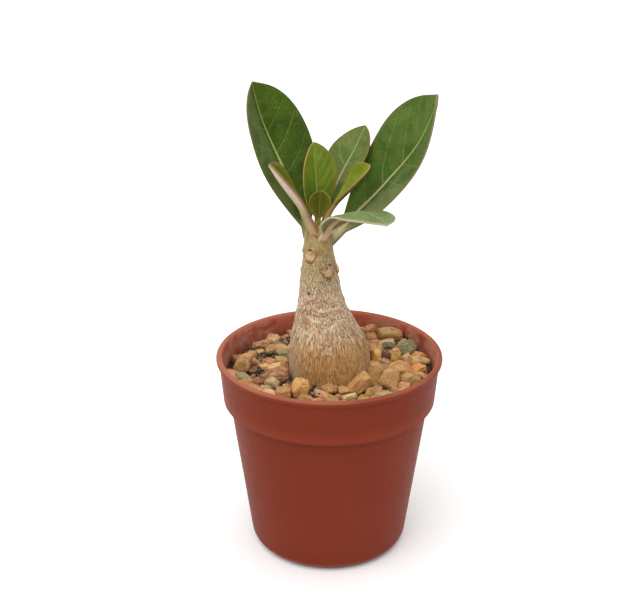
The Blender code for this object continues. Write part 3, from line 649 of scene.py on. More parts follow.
def pot_outside(s, height, cloud):
    """The plastic, with a painted highlight above the collar's crease and a painted shadow below it."""
    base = s.clouds(cloud, (111, 41, 22), (116, 45, 26))
    # A painted highlight on the band above the collar's crease
    painted_crease_highlight = s.rise(height, 59.6, 60.6) * s.rise(height, 66.0, 60.6)
    base = s.blend(painted_crease_highlight * 0.35, base, (138, 58, 36))
    # A painted shadow under the collar's crease
    painted_crease_shadow = s.rise(height, 60.0, 59.6) * s.rise(height, 56.0, 58.8)
    return s.blend(painted_crease_shadow * 0.35, base, (88, 34, 20))


def pot_inside(s, across, height, inward):
    """The inner wall: upright streaks, and dust and rust near the lip, with the dust's share."""
    streak = s.grain(0.16, 330.0, 4.0, 0.7)
    # Paler than the outside: a dusty film, and painted light against the shade inside the pot
    base = s.clouds(streak, (156, 78, 57), (170, 90, 68))
    stain = s.grain(1.8, 130.0, 6.0, 0.62, 0.8)
    near_lip = s.rise(height, 66.0, 72.0) * s.rise(height, 77.6, 76.4)
    share = inward * near_lip * s.ease(abs(across), 10.0 * MM, 30.0 * MM)
    dust = s.ease(stain, 0.38, 0.66) * share
    base = s.blend(dust * 0.54, base, (198, 158, 138))
    rust = s.ease(stain, 0.42, 0.28) * share
    base = s.blend(rust * 0.6, base, (98, 62, 34))
    # Darker towards the gravel
    darker_near_gravel = s.rise(height, 73.5, 69.0) * inward
    return s.blend(darker_near_gravel * 0.25, base, (74, 36, 26)), dust


def pot_material():
    s = Shading("pot_plastic")
    place = s.place()
    across, _, height = s.split(place)
    inward = s.attribute("inside")
    cloud = s.noise(place, 22.0, 2.0)
    inside, dust = pot_inside(s, across, height, inward)
    base = s.blend(inward, pot_outside(s, height, cloud), inside)
    # A painted highlight along the top of the lip
    painted_lip_highlight = s.rise(height, 76.6, 77.6) * s.ease(cloud, 0.35, 0.6, 0.4, 1.0)
    base = s.blend(painted_lip_highlight * 0.62, base, (172, 110, 86))
    grain = s.noise(place, 420.0)
    return s.surface(
        Base_Color=base, Roughness=s.ease(grain, 0.3, 0.8, 0.50, 0.60) + dust * 0.2,
        Normal=s.bump(grain, 0.06 * MM, 0.3), Specular_IOR_Level=0.08, Sheen_Weight=0.06,
        Sheen_Roughness=0.35, Sheen_Tint=(240, 214, 200),
    )


def soil_material():
    s = Shading("potting_mix")
    crumb = s.cells(s.place(), 900.0)
    fibre = s.noise(s.stretch(s.place(), (1.0, 2.6, 1.0)), 520.0, 5.0, 0.7)
    base = s.layers(
        (30, 20, 14), (fibre, 0.35, 0.7, 1.0, (78, 56, 38)), (crumb, 0.55, 0.2, 0.5, (104, 78, 52))
    )
    rough = s.ease(fibre, 0.3, 0.8, 0.82, 0.97)
    normal = s.bump(crumb * 0.6 + fibre, 0.9 * MM)
    return s.surface(Base_Color=base, Roughness=rough, Normal=normal)


def stone_material():
    s = Shading("pebble_stone")
    own = s.attribute("stone_place", "Vector")
    tint = s.attribute("stone_colour", "Color")
    second = s.attribute("stone_second", "Color")
    patch = s.noise(own, 330.0, 5.0, 0.62, 0.8)
    speckle = s.noise(own, 1500.0, 4.0, 0.7)
    ridge = s.noise(s.stretch(own, (1.0, 1.0, 4.0)), 260.0, 2.0, 0.5, 0.6)
    ridged = s.ease(ridge, 0.50, 0.60) * s.ease(patch, 0.44, 0.54)
    base = s.layers(
        tint, (patch, 0.42, 0.68, 0.75, second), (patch, 0.60, 0.76, 0.7, (236, 208, 154)),
        (speckle, 0.54, 0.70, 0.50, (240, 218, 176)), (speckle, 0.45, 0.30, 0.48, (96, 60, 30)),
    )
    base = s.blend(ridged * 0.42, base, (112, 70, 34))
    # A painted shade on the stones low in the gravel, where the gaps between them lie in shadow
    base = s.blend(s.attribute("stone_low") * 0.70, base, (70, 42, 22))
    height = patch * 0.7 + speckle * 0.45 - ridged * 0.25
    return s.surface(
        Base_Color=base, Roughness=s.ease(patch, 0.3, 0.7, 0.60, 0.38),
        Normal=s.bump(height, 1.0 * MM), Specular_IOR_Level=0.38, Subsurface_Weight=0.12,
        Subsurface_Radius=(1.0, 0.5, 0.25), Subsurface_Scale=1.2 * MM,
    )


def bit_material():
    s = Shading("dark_bark_bits")
    grain = s.grain(2.2, 900.0, 5.0, 0.7)
    speck = s.noise(s.place(), 2600.0, 2.0)
    tint = s.attribute("stone_colour", "Color")
    base = s.layers(
        tint, (grain, 0.50, 0.76, 0.7, (92, 74, 58)), (speck, 0.58, 0.68, 0.9, (188, 178, 158))
    )
    return s.surface(
        Base_Color=base, Roughness=s.ease(grain, 0.3, 0.7, 0.9, 0.6),
        Normal=s.bump(grain, 0.6 * MM), Specular_IOR_Level=0.20,
    )


def bark_tones(s, level, rows):
    """Colours that take over from one another up the stem, in rows of heights and a colour."""
    found = rows[0][1]
    for (start, end), tone in rows[1:]:
        found = s.blend(s.rise(level, start, end), found, tone)
    return found


def bark_lines(s, level, height, base):
    """The furrows and grain over the bark's tones, and how far the lines stand out."""
    ragged = s.grain(0.35, 1500.0, 3.0, 0.7)
    off = abs(s.attribute("bark_wave")) + (ragged - 0.5) * 0.08
    weak = s.ease(s.noise(s.place(), 130.0, 2.0), 0.32, 0.58, 0.45, 1.0)
    bark_ends = s.rise(height, 120.0, 106.0, 0.10, 1.0) * s.rise(height, 73.0, 84.0, 0.55, 1.0)
    groove = s.ease(off, 0.12, 0.025) * (weak * bark_ends)
    ridge = s.ease(off, 0.12, 0.36) * bark_ends
    light = bark_tones(s, level, LIGHT_LINES)
    dark = bark_tones(s, level, DARK_LINES)
    flake = s.grain(0.35, 700.0, 4.0, 0.7)
    flaking = ridge * s.ease(flake, 0.36, 0.62)
    base = s.blend(flaking * 0.48, base, light)
    base = s.blend(groove * 0.85, base, dark)

    netted = s.rise(level, 86.0, 94.0)
    short_grain = s.grain(0.45, 2000.0, 2.0, 0.6)
    long_grain = s.grain(0.26, 2300.0, 2.0, 0.6)
    grain = long_grain + netted * (short_grain - long_grain)
    grainy = s.rise(height, 120.0, 113.0, 0.3, 1.0) * s.ease(netted, 0.0, 1.0, 0.55, 1.0)
    base = s.blend(grainy * s.ease(grain, 0.52, 0.62, 0.0, 0.48), base, light)
    base = s.blend(grainy * s.ease(grain, 0.47, 0.37, 0.0, 0.42), base, dark)
    hollow = s.attribute("hollow") * s.ease(flake, 0.40, 0.60)
    base = s.blend(hollow * 0.42, base, dark)
    return base, flaking * 0.4, groove * 0.8


def bark_skin(s, height, base):
    """The finer, greener skin under the crown, and the pale ridges of the stem."""
    fleck = s.grain(0.6, 1500.0, 3.0, 0.7)
    flecked = s.rise(height, 103.0, 109.0) * s.rise(height, 124.0, 117.0, 0.4, 1.0)
    base = s.blend(flecked * s.ease(fleck, 0.52, 0.64, 0.0, 0.38), base, (220, 204, 164))
    base = s.blend(flecked * s.ease(fleck, 0.46, 0.34, 0.0, 0.55), base, (122, 98, 58))
    wrinkles = s.grain(5.0, 400.0, 3.0, 0.6, 0.3)
    wrinkled = s.rise(height, 108.0, 112.0) * s.ease(wrinkles, 0.50, 0.62, 0.0, 0.40)
    base = s.blend(wrinkled, base, (116, 92, 54))
    pale = s.grain(1.8, 520.0, 5.0, 0.7)
    pale_here = s.attribute("crease") * s.ease(pale, 0.38, 0.62, 0.05, 0.75)
    base = s.blend(pale_here, base, (218, 198, 168))
    dots = s.ease(s.cells(s.place(), 700.0), 0.26, 0.12) * s.rise(height, 106.0, 116.0)
    return s.blend(dots * 0.40, base, (128, 100, 52))


def bark_scars(s, height, base):
    """The scars' pads and rims, and the small marks and pits."""
    pad = s.attribute("scar_pad")
    speckled = s.noise(s.place(), 900.0, 4.0, 0.75)
    ragged = s.noise(s.place(), 800.0, 4.0, 0.75)
    pad_tone = s.blend(s.rise(height, 106.0, 104.5), (196, 162, 118), (204, 162, 140))
    base = s.blend(pad * 0.75, base, pad_tone)
    base = s.blend(pad * s.ease(speckled, 0.54, 0.62, 0.0, 0.80), base, (144, 98, 58))
    rim = s.attribute("scar_rim") * s.ease(ragged, 0.34, 0.54, 0.35, 1.0)
    rim_tone = s.blend(s.ease(ragged, 0.40, 0.65), (78, 46, 22), (126, 80, 42))
    base = s.blend(rim, base, rim_tone)
    mark = s.attribute("mark") * s.ease(ragged, 0.28, 0.50, 0.3, 1.0)
    base = s.blend(mark, base, (116, 78, 38))
    base = s.blend(s.attribute("patch") * 0.9, base, (162, 118, 76))
    return s.blend(s.attribute("pit") * 0.9, base, (84, 54, 28))


def bark_material():
    s = Shading("desert_rose_bark")
    place = s.place()
    across, _, height = s.split(place)
    level = height + (s.noise(place, 90.0, 2.0) - 0.5) * (10.0 * MM)
    tones = [
        (heights, s.clouds(s.noise(place, *clouds), deep, pale))
        for heights, clouds, deep, pale in BARK_TONES
    ]
    base = bark_tones(s, level, tones)
    ashen = s.ease(across, -7.0 * MM, -14.0 * MM) * s.rise(height, 90.0, 78.0)
    base = s.blend(ashen * 0.40, base, (168, 148, 130))
    base, flaking, groove = bark_lines(s, level, height, base)
    base = bark_skin(s, height, base)
    base = bark_scars(s, height, base)
    fibres = s.grain(0.22, 1700.0, 4.0, 0.65)
    relief = fibres * 0.6 - groove + flaking
    return s.surface(
        Base_Color=base, Roughness=s.rise(height, 100.0, 122.0, 0.85, 0.58),
        Normal=s.bump(relief, 0.22 * MM, 0.8), Specular_IOR_Level=0.22,
        Sheen_Weight=0.20, Sheen_Roughness=0.45, Sheen_Tint=(250, 240, 226),
    )


def leaf_veins(s):
    """How near a side vein is, and how strong it is there."""
    from_edge = s.split(s.attribute("leaf_place", "Vector"))[2]
    off_line = abs(s.math("FRACT", s.attribute("vein_phase")) - 0.5) * s.attribute("vein_gap")
    wide = off_line + (s.noise(s.place(), 500.0, 2.0) - 0.5) * 0.5
    return wide, s.attribute("vein_strength") * s.ease(from_edge, 0.8, 3.6)


def leaf_above(s, leaf, tint, cloud, mottle, net, veins):
    """The colour of the upper side."""
    _, from_rib, from_edge = s.split(s.attribute("leaf_place", "Vector"))
    share = s.attribute("leaf_share")
    wide, strength = veins
    blade = s.layers(
        tint.deep, (cloud, 0.30, 0.70, 1.0, tint.light), (mottle, 0.42, 0.74, 0.30, tint.light)
    )
    rim = s.ease(from_edge, 3.0, 0.2) * s.ease(cloud, 0.25, 0.7, 0.25, 0.8)
    blade = s.blend(rim, blade, tint.rim)
    blade = s.blend(net, blade, tint.vein)
    blade = s.blend(s.ease(wide, 1.5, 0.2, 0.0, 0.30) * strength, blade, tint.light)
    blade = s.blend(s.ease(wide, 0.26, 0.04) * strength * 0.78, blade, tint.vein)

    off_rib = abs(from_rib) - s.ease(share, 0.0, 1.0, 0.30 * leaf.stalk, 0.05)
    rib = s.blend(s.ease(share, 0.30, 0.90), tint.rib_foot, tint.rib_tip)
    blade = s.layers(blade, (off_rib, 2.0, 0.1, 0.30, tint.light), (off_rib, 0.24, 0.02, 1.0, rib))
    dust = s.noise(s.place(), 1400.0, 3.0, 0.75)
    dusty = s.ease(dust, 0.60, 0.72) * s.ease(cloud, 0.45, 0.62, 0.0, 0.35)
    blade = s.blend(dusty, blade, (186, 194, 160))
    # Pale bloom with a painted sheen on the right half, towards the foot
    bloom_and_sheen = s.ease(share, 0.70, 0.25) * s.ease(from_rib, 0.5, 5.5)
    bloom_and_sheen = bloom_and_sheen * s.ease(cloud, 0.30, 0.70, 0.4, 1.0)
    blade = s.blend(bloom_and_sheen * BLOOM_AND_SHEEN.get(leaf.name, 0.0), blade, (146, 148, 108))
    # A painted sheen that makes the left half paler away from the midrib
    painted_sheen = s.ease(from_rib, -0.4, -4.0) * s.ease(cloud, 0.25, 0.70, 0.5, 1.0)
    return s.blend(painted_sheen * PAINTED_SHEEN.get(leaf.name, 0.0), blade, (118, 130, 84))


def leaf_below(s, leaf, tint, veins):
    """The colour of the underside."""
    spot = s.attribute("leaf_place", "Vector")
    _, from_rib, from_edge = s.split(spot)
    share = s.attribute("leaf_share")
    wide, strength = veins
    streak = s.noise(s.stretch(spot, (0.10, 1.0, 0.0)), 2.6, 4.0, 0.7)
    streaked = s.ease(streak, 0.38, 0.66, 0.0, STREAKS.get(leaf.name, FAINT_STREAKS))
    below = s.blend(streaked, tint.under, tint.rib_foot)
    below = s.blend(s.ease(from_edge, 1.6, 0.2, 0.0, 0.75), below, tint.margin)
    below = s.blend(s.ease(wide, 0.26, 0.04) * strength * 0.35, below, tint.light)
    out_of_rib = abs(from_rib) / s.ease(share, 0.0, 1.0, leaf.stalk, RIB_BELOW_TIP * leaf.stalk)
    rib_end = tuple(0.5 * (a + b) for a, b in zip(tint.under, tint.stalk))
    rib = s.blend(s.ease(share, 0.15, 0.45), tint.stalk, rib_end)
    below = s.blend(s.ease(out_of_rib, 1.25, 0.6, 0.0, 0.7), below, rib)
    stalk = s.ease(share, 0.48, 0.24, 0.0, STALK_BELOW.get(leaf.name, 0.0))
    return s.blend(stalk, below, tint.stalk)


def leaf_material(leaf):
    tint = Tint(*(tuple(LEAF_SHADE * v for v in colour) for colour in TINTS[leaf.name]))
    s = Shading(leaf.name + "_skin")
    place = s.place()
    from_edge = s.split(s.attribute("leaf_place", "Vector"))[2]
    share = s.attribute("leaf_share")
    upper = s.attribute("leaf_upper")
    cloud = s.noise(place, 95.0, 5.0, 0.65, 0.4)
    mottle = s.noise(place, 620.0, 4.0, 0.7)
    net = s.cells(s.stretch(place, (1.0, 1.0, 0.8)), 620.0, "DISTANCE_TO_EDGE")
    net = s.ease(net, 0.06, 0.0, 0.0, 0.16)
    veins = leaf_veins(s)
    below = leaf_below(s, leaf, tint, veins)
    base = s.blend(upper, below, leaf_above(s, leaf, tint, cloud, mottle, net, veins))

    on_stalk = s.ease(share, leaf.bare + 0.13, leaf.bare + 0.01)
    flush = s.ease(s.noise(place, 260.0, 3.0), 0.35, 0.7, 0.0, 0.45)
    base = s.blend(on_stalk * 0.8, base, s.blend(flush, tint.stalk, (200, 152, 124)))
    at_foot = s.ease(share, 0.035, 0.0) * s.ease(mottle, 0.3, 0.6, 0.3, 0.8)
    base = s.blend(at_foot, base, (148, 108, 66))
    edge = s.ease(from_edge, 0.36, 0.12) * s.ease(mottle, 0.2, 0.6, 0.6, 1.0)
    base = s.blend(edge, base, tint.margin)
    line = s.ease(veins[0], 0.26, 0.04) * veins[1]
    relief = mottle * 0.5 - line * 0.8 - net * 1.2
    rough = s.ease(mottle, 0.3, 0.75, 0.40, 0.56) + (1.0 - upper) * 0.15
    return s.surface(
        Base_Color=base, Roughness=rough, Normal=s.bump(relief, 0.14 * MM, 0.8),
        Specular_IOR_Level=LEAF_GLOSS,
    )


def floor_material():
    s = Shading("studio_floor")
    base = s.clouds(s.noise(s.place(), 700.0, 2.0), (240, 240, 240), (243, 243, 243))
    return s.surface(Base_Color=base, Roughness=0.95, Specular_IOR_Level=0.0)


# Helpers for shapes


def mix(a, b, share):
    return a + (b - a) * share


def smooth_step(value):
    value = np.clip(value, 0.0, 1.0)
    return value * value * (3.0 - 2.0 * value)


def arc(centre_radius, centre_height, radius, start, end, steps):
    """Points of an arc in the profile's plane, with angles in degrees from +X."""
    found = []
    for i in range(steps + 1):
        angle = math.radians(start + (end - start) * i / steps)
        found.append(
            (centre_radius + radius * math.cos(angle), centre_height + radius * math.sin(angle))
        )
    return found


def make_piece(name, points, faces, material, node):
    """A mesh piece that rides on the root and stands for a solid of the frame."""
    mesh = bpy.data.meshes.new(name)
    mesh.from_pydata([tuple(point) for point in points], [], [tuple(face) for face in faces])
    mesh.update()
    mesh.materials.append(material)
    mesh.shade_smooth()
    piece = bpy.data.objects.new(name, mesh)
    bpy.context.scene.collection.objects.link(piece)
    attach(piece, "root")
    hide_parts(node)
    return piece


def give(piece, name, values):
    """Adds a value, a direction or a colour for each vertex, which the material reads."""
    values = np.asarray(values, np.float32)
    kinds = {1: ("FLOAT", "value"), 3: ("FLOAT_VECTOR", "vector"), 4: ("FLOAT_COLOR", "color")}
    kind, field = kinds[values[0].size]
    made = piece.data.attributes.new(name, kind, "POINT")
    made.data.foreach_set(field, values.ravel())


def ring_points(radius, height, steps):
    """Points of a level circle round the pot's axis."""
    turns = [2.0 * math.pi * j / steps for j in range(steps)]
    return [(radius * math.cos(turn), radius * math.sin(turn), height) for turn in turns]


def ring_faces(rings, steps, flip=False):
    """Quads between closed rings of points, each with the same number of steps."""
    faces = []
    for i in range(rings - 1):
        for j in range(steps):
            k = (j + 1) % steps
            quad = [i * steps + j, i * steps + k, (i + 1) * steps + k, (i + 1) * steps + j]
            faces.append(quad[::-1] if flip else quad)
    return faces


def fan(middle, first, steps, flip=False):
    """Triangles from a ring, given by its first point, to a point in its middle."""
    faces = []
    for j in range(steps):
        k = (j + 1) % steps
        near, far = (j, k) if flip else (k, j)
        faces.append([middle, first + near, first + far])
    return faces


# Pot


def pot_inner_wall(steps):
    """The inside's section, from the middle of the floor up to the lip."""
    floor = FOOT_RECESS + POT_WALL
    fillet = FOOT_FILLET - POT_WALL
    foot = FOOT_RADIUS - POT_WALL
    shoulder = SHOULDER_RADIUS - POT_WALL
    ledge = COLLAR_FOOT_HEIGHT
    return [
        (0.0, floor),
        *arc(foot - fillet, floor + fillet, fillet, -90, FOOT_ARC, steps),
        (shoulder, ledge - SHOULDER_CURVE),
        (shoulder + 0.4 * POT_WALL, ledge - 0.75 * POT_WALL),
        (COLLAR_FOOT_RADIUS - POT_WALL, ledge + 0.5 * POT_WALL),
        (INNER_LIP_RADIUS, POT_HEIGHT - INNER_LIP_RISE),
    ]


def wall_radius(height):
    """The pot's inner radius at a height."""
    wall = pot_inner_wall(4)
    for low, high in zip(wall, wall[1:]):
        if low[1] <= height <= high[1] and high[1] > low[1]:
            return mix(low[0], high[0], (height - low[1]) / (high[1] - low[1]))
    return wall[-1][0]


def pot_lip():
    """The lip's section, from its inner side over its top and round its outer side."""
    middle = INNER_LIP_RADIUS + INNER_LIP_REACH
    height = POT_HEIGHT - INNER_LIP_RISE
    found = []
    for angle in INNER_LIP_ARC:
        turn = math.radians(angle)
        found.append(
            (middle + INNER_LIP_REACH * math.cos(turn), height + INNER_LIP_RISE * math.sin(turn))
        )
    return found + arc(POT_RADIUS - LIP_RADIUS, POT_HEIGHT - LIP_RADIUS, LIP_RADIUS, *LIP_ARC, 12)


def pot_outline():
    """The closed section: up the inside, over the lip, down the outside and along the foot."""
    neck_height = COLLAR_FOOT_HEIGHT - COLLAR_ROUNDING - SHOULDER_CURVE
    return [
        *pot_inner_wall(10),
        *pot_lip(),
        *arc(
            COLLAR_FOOT_RADIUS - COLLAR_ROUNDING, COLLAR_FOOT_HEIGHT, COLLAR_ROUNDING, 0, -90, 4
        ),
        *arc(SHOULDER_RADIUS + SHOULDER_CURVE, neck_height, SHOULDER_CURVE, 90, 180, 8),
        *arc(FOOT_RADIUS - FOOT_FILLET, FOOT_FILLET, FOOT_FILLET, FOOT_ARC, -90, 14),
        (FOOT_RING_INNER + FOOT_RECESS, 0.0),
        (FOOT_RING_INNER, FOOT_RECESS),
        (0.0, FOOT_RECESS),
    ]


def refined(outline, longest):
    """The outline with its long straight stretches cut into shorter ones."""
    found = [outline[0]]
    for low, high in zip(outline, outline[1:]):
        reach = math.dist(low, high)
        pieces = max(1, math.ceil(reach / longest))
        for i in range(1, pieces + 1):
            found.append((mix(low[0], high[0], i / pieces), mix(low[1], high[1], i / pieces)))
    return found


def make_pot():
    outline = refined(pot_outline(), POT_ROW)
    points = [(0.0, 0.0, outline[0][1])]
    for radius, height in outline[1:-1]:
        for x, y, _ in ring_points(1.0, height, POT_STEPS):
            at = Vector((x, y, height / (30.0 * MM)))
            reach = radius + MOULD_UNEVEN * noise.noise(at * 1.7) * min(1.0, height / (6.0 * MM))
            points.append((reach * x, reach * y, height))
    points.append((0.0, 0.0, outline[-1][1]))
    rings = len(outline) - 2
    last = 1 + (rings - 1) * POT_STEPS
    faces = [[a + 1 for a in face] for face in ring_faces(rings, POT_STEPS)]
    faces += fan(0, 1, POT_STEPS)
    faces += fan(len(points) - 1, last, POT_STEPS, flip=True)
    pot = make_piece("pot_shell", points, faces, pot_material(), "pot")
    drill(pot)
    mark_inside(pot)
    pot.data.set_sharp_from_angle(angle=SHARP_EDGE)


def mark_inside(pot):
    """Names the points inside the pot, for its material."""
    inside = []
    for vertex in pot.data.vertices:
        reach, height = math.hypot(vertex.co.x, vertex.co.y), vertex.co.z
        most = POT_RADIUS - LIP_RADIUS
        if height < POT_HEIGHT - INNER_LIP_RISE:
            most = wall_radius(height) + 0.4 * POT_WALL
        above_floor = height > FOOT_RECESS + 0.5 * POT_WALL
        inside.append(1.0 if above_floor and reach < most else 0.0)
    give(pot, "inside", inside)


def drill(pot):
    """Cuts the drain holes through the pot's floor."""
    bm = bmesh.new()
    for i in range(DRAIN_HOLES):
        angle = 2.0 * math.pi * (i + 0.5) / DRAIN_HOLES
        centre = (DRAIN_CIRCLE * math.cos(angle), DRAIN_CIRCLE * math.sin(angle), FOOT_RECESS)
        bmesh.ops.create_cone(
            bm, cap_ends=True, segments=DRAIN_SIDES, radius1=DRAIN_RADIUS, radius2=DRAIN_RADIUS,
            depth=DRAIN_CUT, matrix=Matrix.Translation(centre),
        )
    mesh = bpy.data.meshes.new("drain")
    bm.to_mesh(mesh)
    bm.free()
    cutter = bpy.data.objects.new("drain", mesh)
    bpy.context.scene.collection.objects.link(cutter)
    cut = pot.modifiers.new("drain", "BOOLEAN")
    cut.operation = "DIFFERENCE"
    cut.object = cutter
    graph = bpy.context.evaluated_depsgraph_get()
    graph.update()
    drilled = bpy.data.meshes.new_from_object(pot.evaluated_get(graph))
    old = pot.data
    pot.modifiers.clear()
    pot.data = drilled
    bpy.data.meshes.remove(old)
    bpy.data.objects.remove(cutter)


# Gravel


def gravel_level(x, y):
    """The height of the gravel, heaped towards the back on the right."""
    return GRAVEL_LEVEL + GRAVEL_TILT[0] * x + GRAVEL_TILT[1] * y


def placed_stones():
    """The stones that stand out, as they lie in the photo, in metres."""
    stones = []
    for x, y, lift, length, width, height, raised, main, second in STONE_PLACES:
        sizes = (size * MM for size in (x, y, lift, length, width, height))
        stones.append(Stone(*sizes, 0.0, raised, main, second))
    return stones


def place_in_ring(draw, inner, outer):
    """A place drawn evenly over a ring."""
    radius = math.sqrt(draw.uniform(inner ** 2, outer ** 2))
    angle = draw.uniform(0.0, 2.0 * math.pi)
    return radius * math.cos(angle), radius * math.sin(angle)


def random_stone(draw):
    """A stone with a place, size, turn and colours of its own."""
    x, y = place_in_ring(draw, FILL_INNER, FILL_OUTER)
    length = draw.uniform(*FILL_LENGTH)
    width = length * draw.uniform(*FILL_WIDTH_SHARE)
    height = length * draw.uniform(*FILL_HEIGHT_SHARE)
    turn = draw.uniform(0.0, 180.0)
    main, second = draw.choice(FILL_COLOURS)
    return Stone(x, y, -FILL_SUNK_SHARE * height, length, width, height, turn, 0.0, main, second)


def room_round(stone, taken):
    """How far a stone lies from its nearest neighbour, against their sizes."""
    return min(
        math.hypot(stone.x - x, stone.y - y) / (stone.length + stone.width + length + width)
        for x, y, length, width in taken
    )


def all_stones(draw):
    """The stones that stand out, then others drawn into the widest spaces left."""
    stones = placed_stones()
    taken = [(stone.x, stone.y, stone.length, stone.width) for stone in stones]
    taken += [tuple(size * MM for size in patch) for patch in SOIL_PATCHES]
    for _ in range(FILL_STONES):
        drawn = [random_stone(draw) for _ in range(STONE_TRIES)]
        widest = max(drawn, key=lambda stone: room_round(stone, taken))
        stones.append(widest)
        taken.append((widest.x, widest.y, widest.length, widest.width))
    return stones


def sphere_net(subdivisions):
    """Directions over a sphere, and its faces."""
    bm = bmesh.new()
    bmesh.ops.create_icosphere(bm, subdivisions=subdivisions, radius=1.0)
    bm.verts.ensure_lookup_table()
    directions = np.array([vertex.co[:] for vertex in bm.verts])
    faces = np.array([[vertex.index for vertex in face.verts] for face in bm.faces])
    bm.free()
    return directions, faces


def stone_facets(count, draw):
    """Directions and reaches of a lump's flat sides: a block's, its corners' and more."""
    normals, reaches = [], []
    for steps in itertools.product((-1, 0, 1), repeat=3):
        turned_sides = sum(abs(step) for step in steps)
        if turned_sides in (1, 3):
            normals.append(np.array(steps) + [draw.gauss(0.0, 0.18) for _ in range(3)])
            reaches.append(draw.uniform(*(STONE_SIDES if turned_sides == 1 else STONE_CORNERS)))
    for _ in range(count):
        normals.append(np.array([draw.gauss(0.0, 1.0) for _ in range(3)]))
        reaches.append(draw.uniform(0.80, 1.0))
    normals = np.array(normals)
    return normals / np.linalg.norm(normals, axis=1)[:, None], np.array(reaches)


def stone_form(net, facets, sharpness, craggy, draw):
    """A lump of flat facets with rounded edges, pitted by noise, with a radius of about one."""
    directions = net[0]
    normals, reaches = stone_facets(facets, draw)
    facing = np.maximum(directions @ normals.T, 0.0) / reaches
    radius = (facing ** sharpness).sum(1) ** (-1.0 / sharpness)
    shift = Vector([draw.uniform(-50.0, 50.0) for _ in range(3)])
    swell = []
    for direction in directions:
        at = Vector(direction)
        pitted = 0.060 * (1.0 - 2.0 * abs(noise.noise(at * 3.1 + shift)))
        pitted += 0.040 * noise.noise(at * 6.5 + shift) + 0.022 * noise.noise(at * 15.0 + shift)
        swell.append(0.06 * noise.noise(at * 1.5 + shift) + craggy * pitted)
    return directions * (radius * (1.0 + np.array(swell)))[:, None]


class Heap:
    """Lumps gathered in one mesh, each with its own colours and its own pattern."""

    FACTS = ("stone_place", "stone_colour", "stone_second", "stone_low")

    def __init__(self):
        self.points = []
        self.faces = []
        self.facts = []
        self.count = 0

    def add(self, form, faces, place, turns, colours, draw):
        """A lump at its place, leant, raised at one end and turned, inside the pot's wall."""
        turn, raised, lean = turns
        rows = np.array(
            Matrix.Translation(place) @ Matrix.Rotation(turn, 4, "Z")
            @ Matrix.Rotation(-raised, 4, "Y") @ Matrix.Rotation(lean, 4, "X")
        )
        points = form @ rows[:3, :3].T + rows[:3, 3]
        reach = np.hypot(points[:, 0], points[:, 1])
        most = np.array([wall_radius(height) for height in points[:, 2]]) - WALL_ROOM
        points[:, :2] *= np.minimum(1.0, most / np.maximum(reach, WALL_ROOM))[:, None]
        # How deep each point lies, for the painted shade low in the gaps
        depth = gravel_level(points[:, 0], points[:, 1]) + PAINTED_SHADE_TOP - points[:, 2]
        own_place = form + np.array([draw.uniform(-1.0, 1.0) for _ in range(3)])
        main, second = (np.tile([*colour, 1.0], (len(points), 1)) for colour in colours)
        self.facts.append((own_place, main, second, smooth_step(depth / PAINTED_SHADE_DEPTH)))
        self.faces.append(faces + self.count)
        self.points.append(points)
        self.count += len(points)

    def piece(self, name, material, slot):
        """The lumps as one piece."""
        points = np.concatenate(self.points)
        faces = np.concatenate(self.faces)
        piece = make_piece(name, points, faces, material, "gravel")
        for fact, values in zip(self.FACTS, zip(*self.facts)):
            give(piece, fact, np.concatenate(values))


def any_turn(draw, spread):
    """A turn about the upright, and how far a lump is raised at one end and leans."""
    return draw.uniform(0.0, math.pi), draw.gauss(0.0, spread), draw.gauss(0.0, spread)


def varied(names, draw):
    """A stone's own shade of its two colours."""
    shade = STONE_SHADE * draw.uniform(0.76, 1.20)
    warm = draw.uniform(-0.05, 0.05)
    found = []
    for name in names:
        red, green, blue = linear(STONE_COLOURS[name])
        found.append((red * shade * (1.0 + warm), green * shade, blue * shade * (1.0 - warm)))
    return found


def make_stones(material):
    """The stones in three heaps: those that stand out on each side, and the drawn ones."""
    draw = random.Random(STONE_SEED + 1)
    fine_net, plain_net = sphere_net(5), sphere_net(4)
    heaps = {"pebbles_left": Heap(), "pebbles_right": Heap(), "pebbles_between": Heap()}
    for i, stone in enumerate(all_stones(random.Random(STONE_SEED))):
        is_placed = i < len(STONE_PLACES)
        net = fine_net if is_placed and stone.length > SMALL_STONE else plain_net
        form = stone_form(net, draw.randint(2, 5), draw.uniform(14.0, 26.0), 0.8, draw)
        form *= np.array([stone.length, stone.width, stone.height]) * STONE_FULLNESS
        place = (stone.x, stone.y, gravel_level(stone.x, stone.y) + stone.lift)
        lean = draw.uniform(-STONE_LEAN, STONE_LEAN)
        turns = (math.radians(stone.turn), math.radians(stone.raised), lean)
        side = "left" if stone.x < 0.0 else "right"
        heap = heaps["pebbles_" + (side if is_placed else "between")]
        heap.add(form, net[1], place, turns, varied((stone.main, stone.second), draw), draw)
    for name, heap in heaps.items():
        heap.piece(name, material, "gravel")


def make_chips(material):
    """Small chips that lie low between the stones."""
    draw = random.Random(CHIP_SEED)
    net = sphere_net(3)
    heap = Heap()
    for _ in range(CHIPS):
        x, y = place_in_ring(draw, CHIP_INNER, CHIP_OUTER)
        length = draw.uniform(*CHIP_LENGTH)
        form = stone_form(net, 3, 18.0, 0.9, draw)
        form *= np.array([length, length * draw.uniform(0.6, 0.9), length * 0.6]) * 0.5
        z = gravel_level(x, y) - BED_DEPTH + draw.uniform(*CHIP_LIFT)
        turns = any_turn(draw, 0.4)
        colours = varied(draw.choice(FILL_COLOURS), draw)
        heap.add(form, net[1], (x, y, z), turns, colours, draw)
    heap.piece("pebble_chips", material, "gravel")


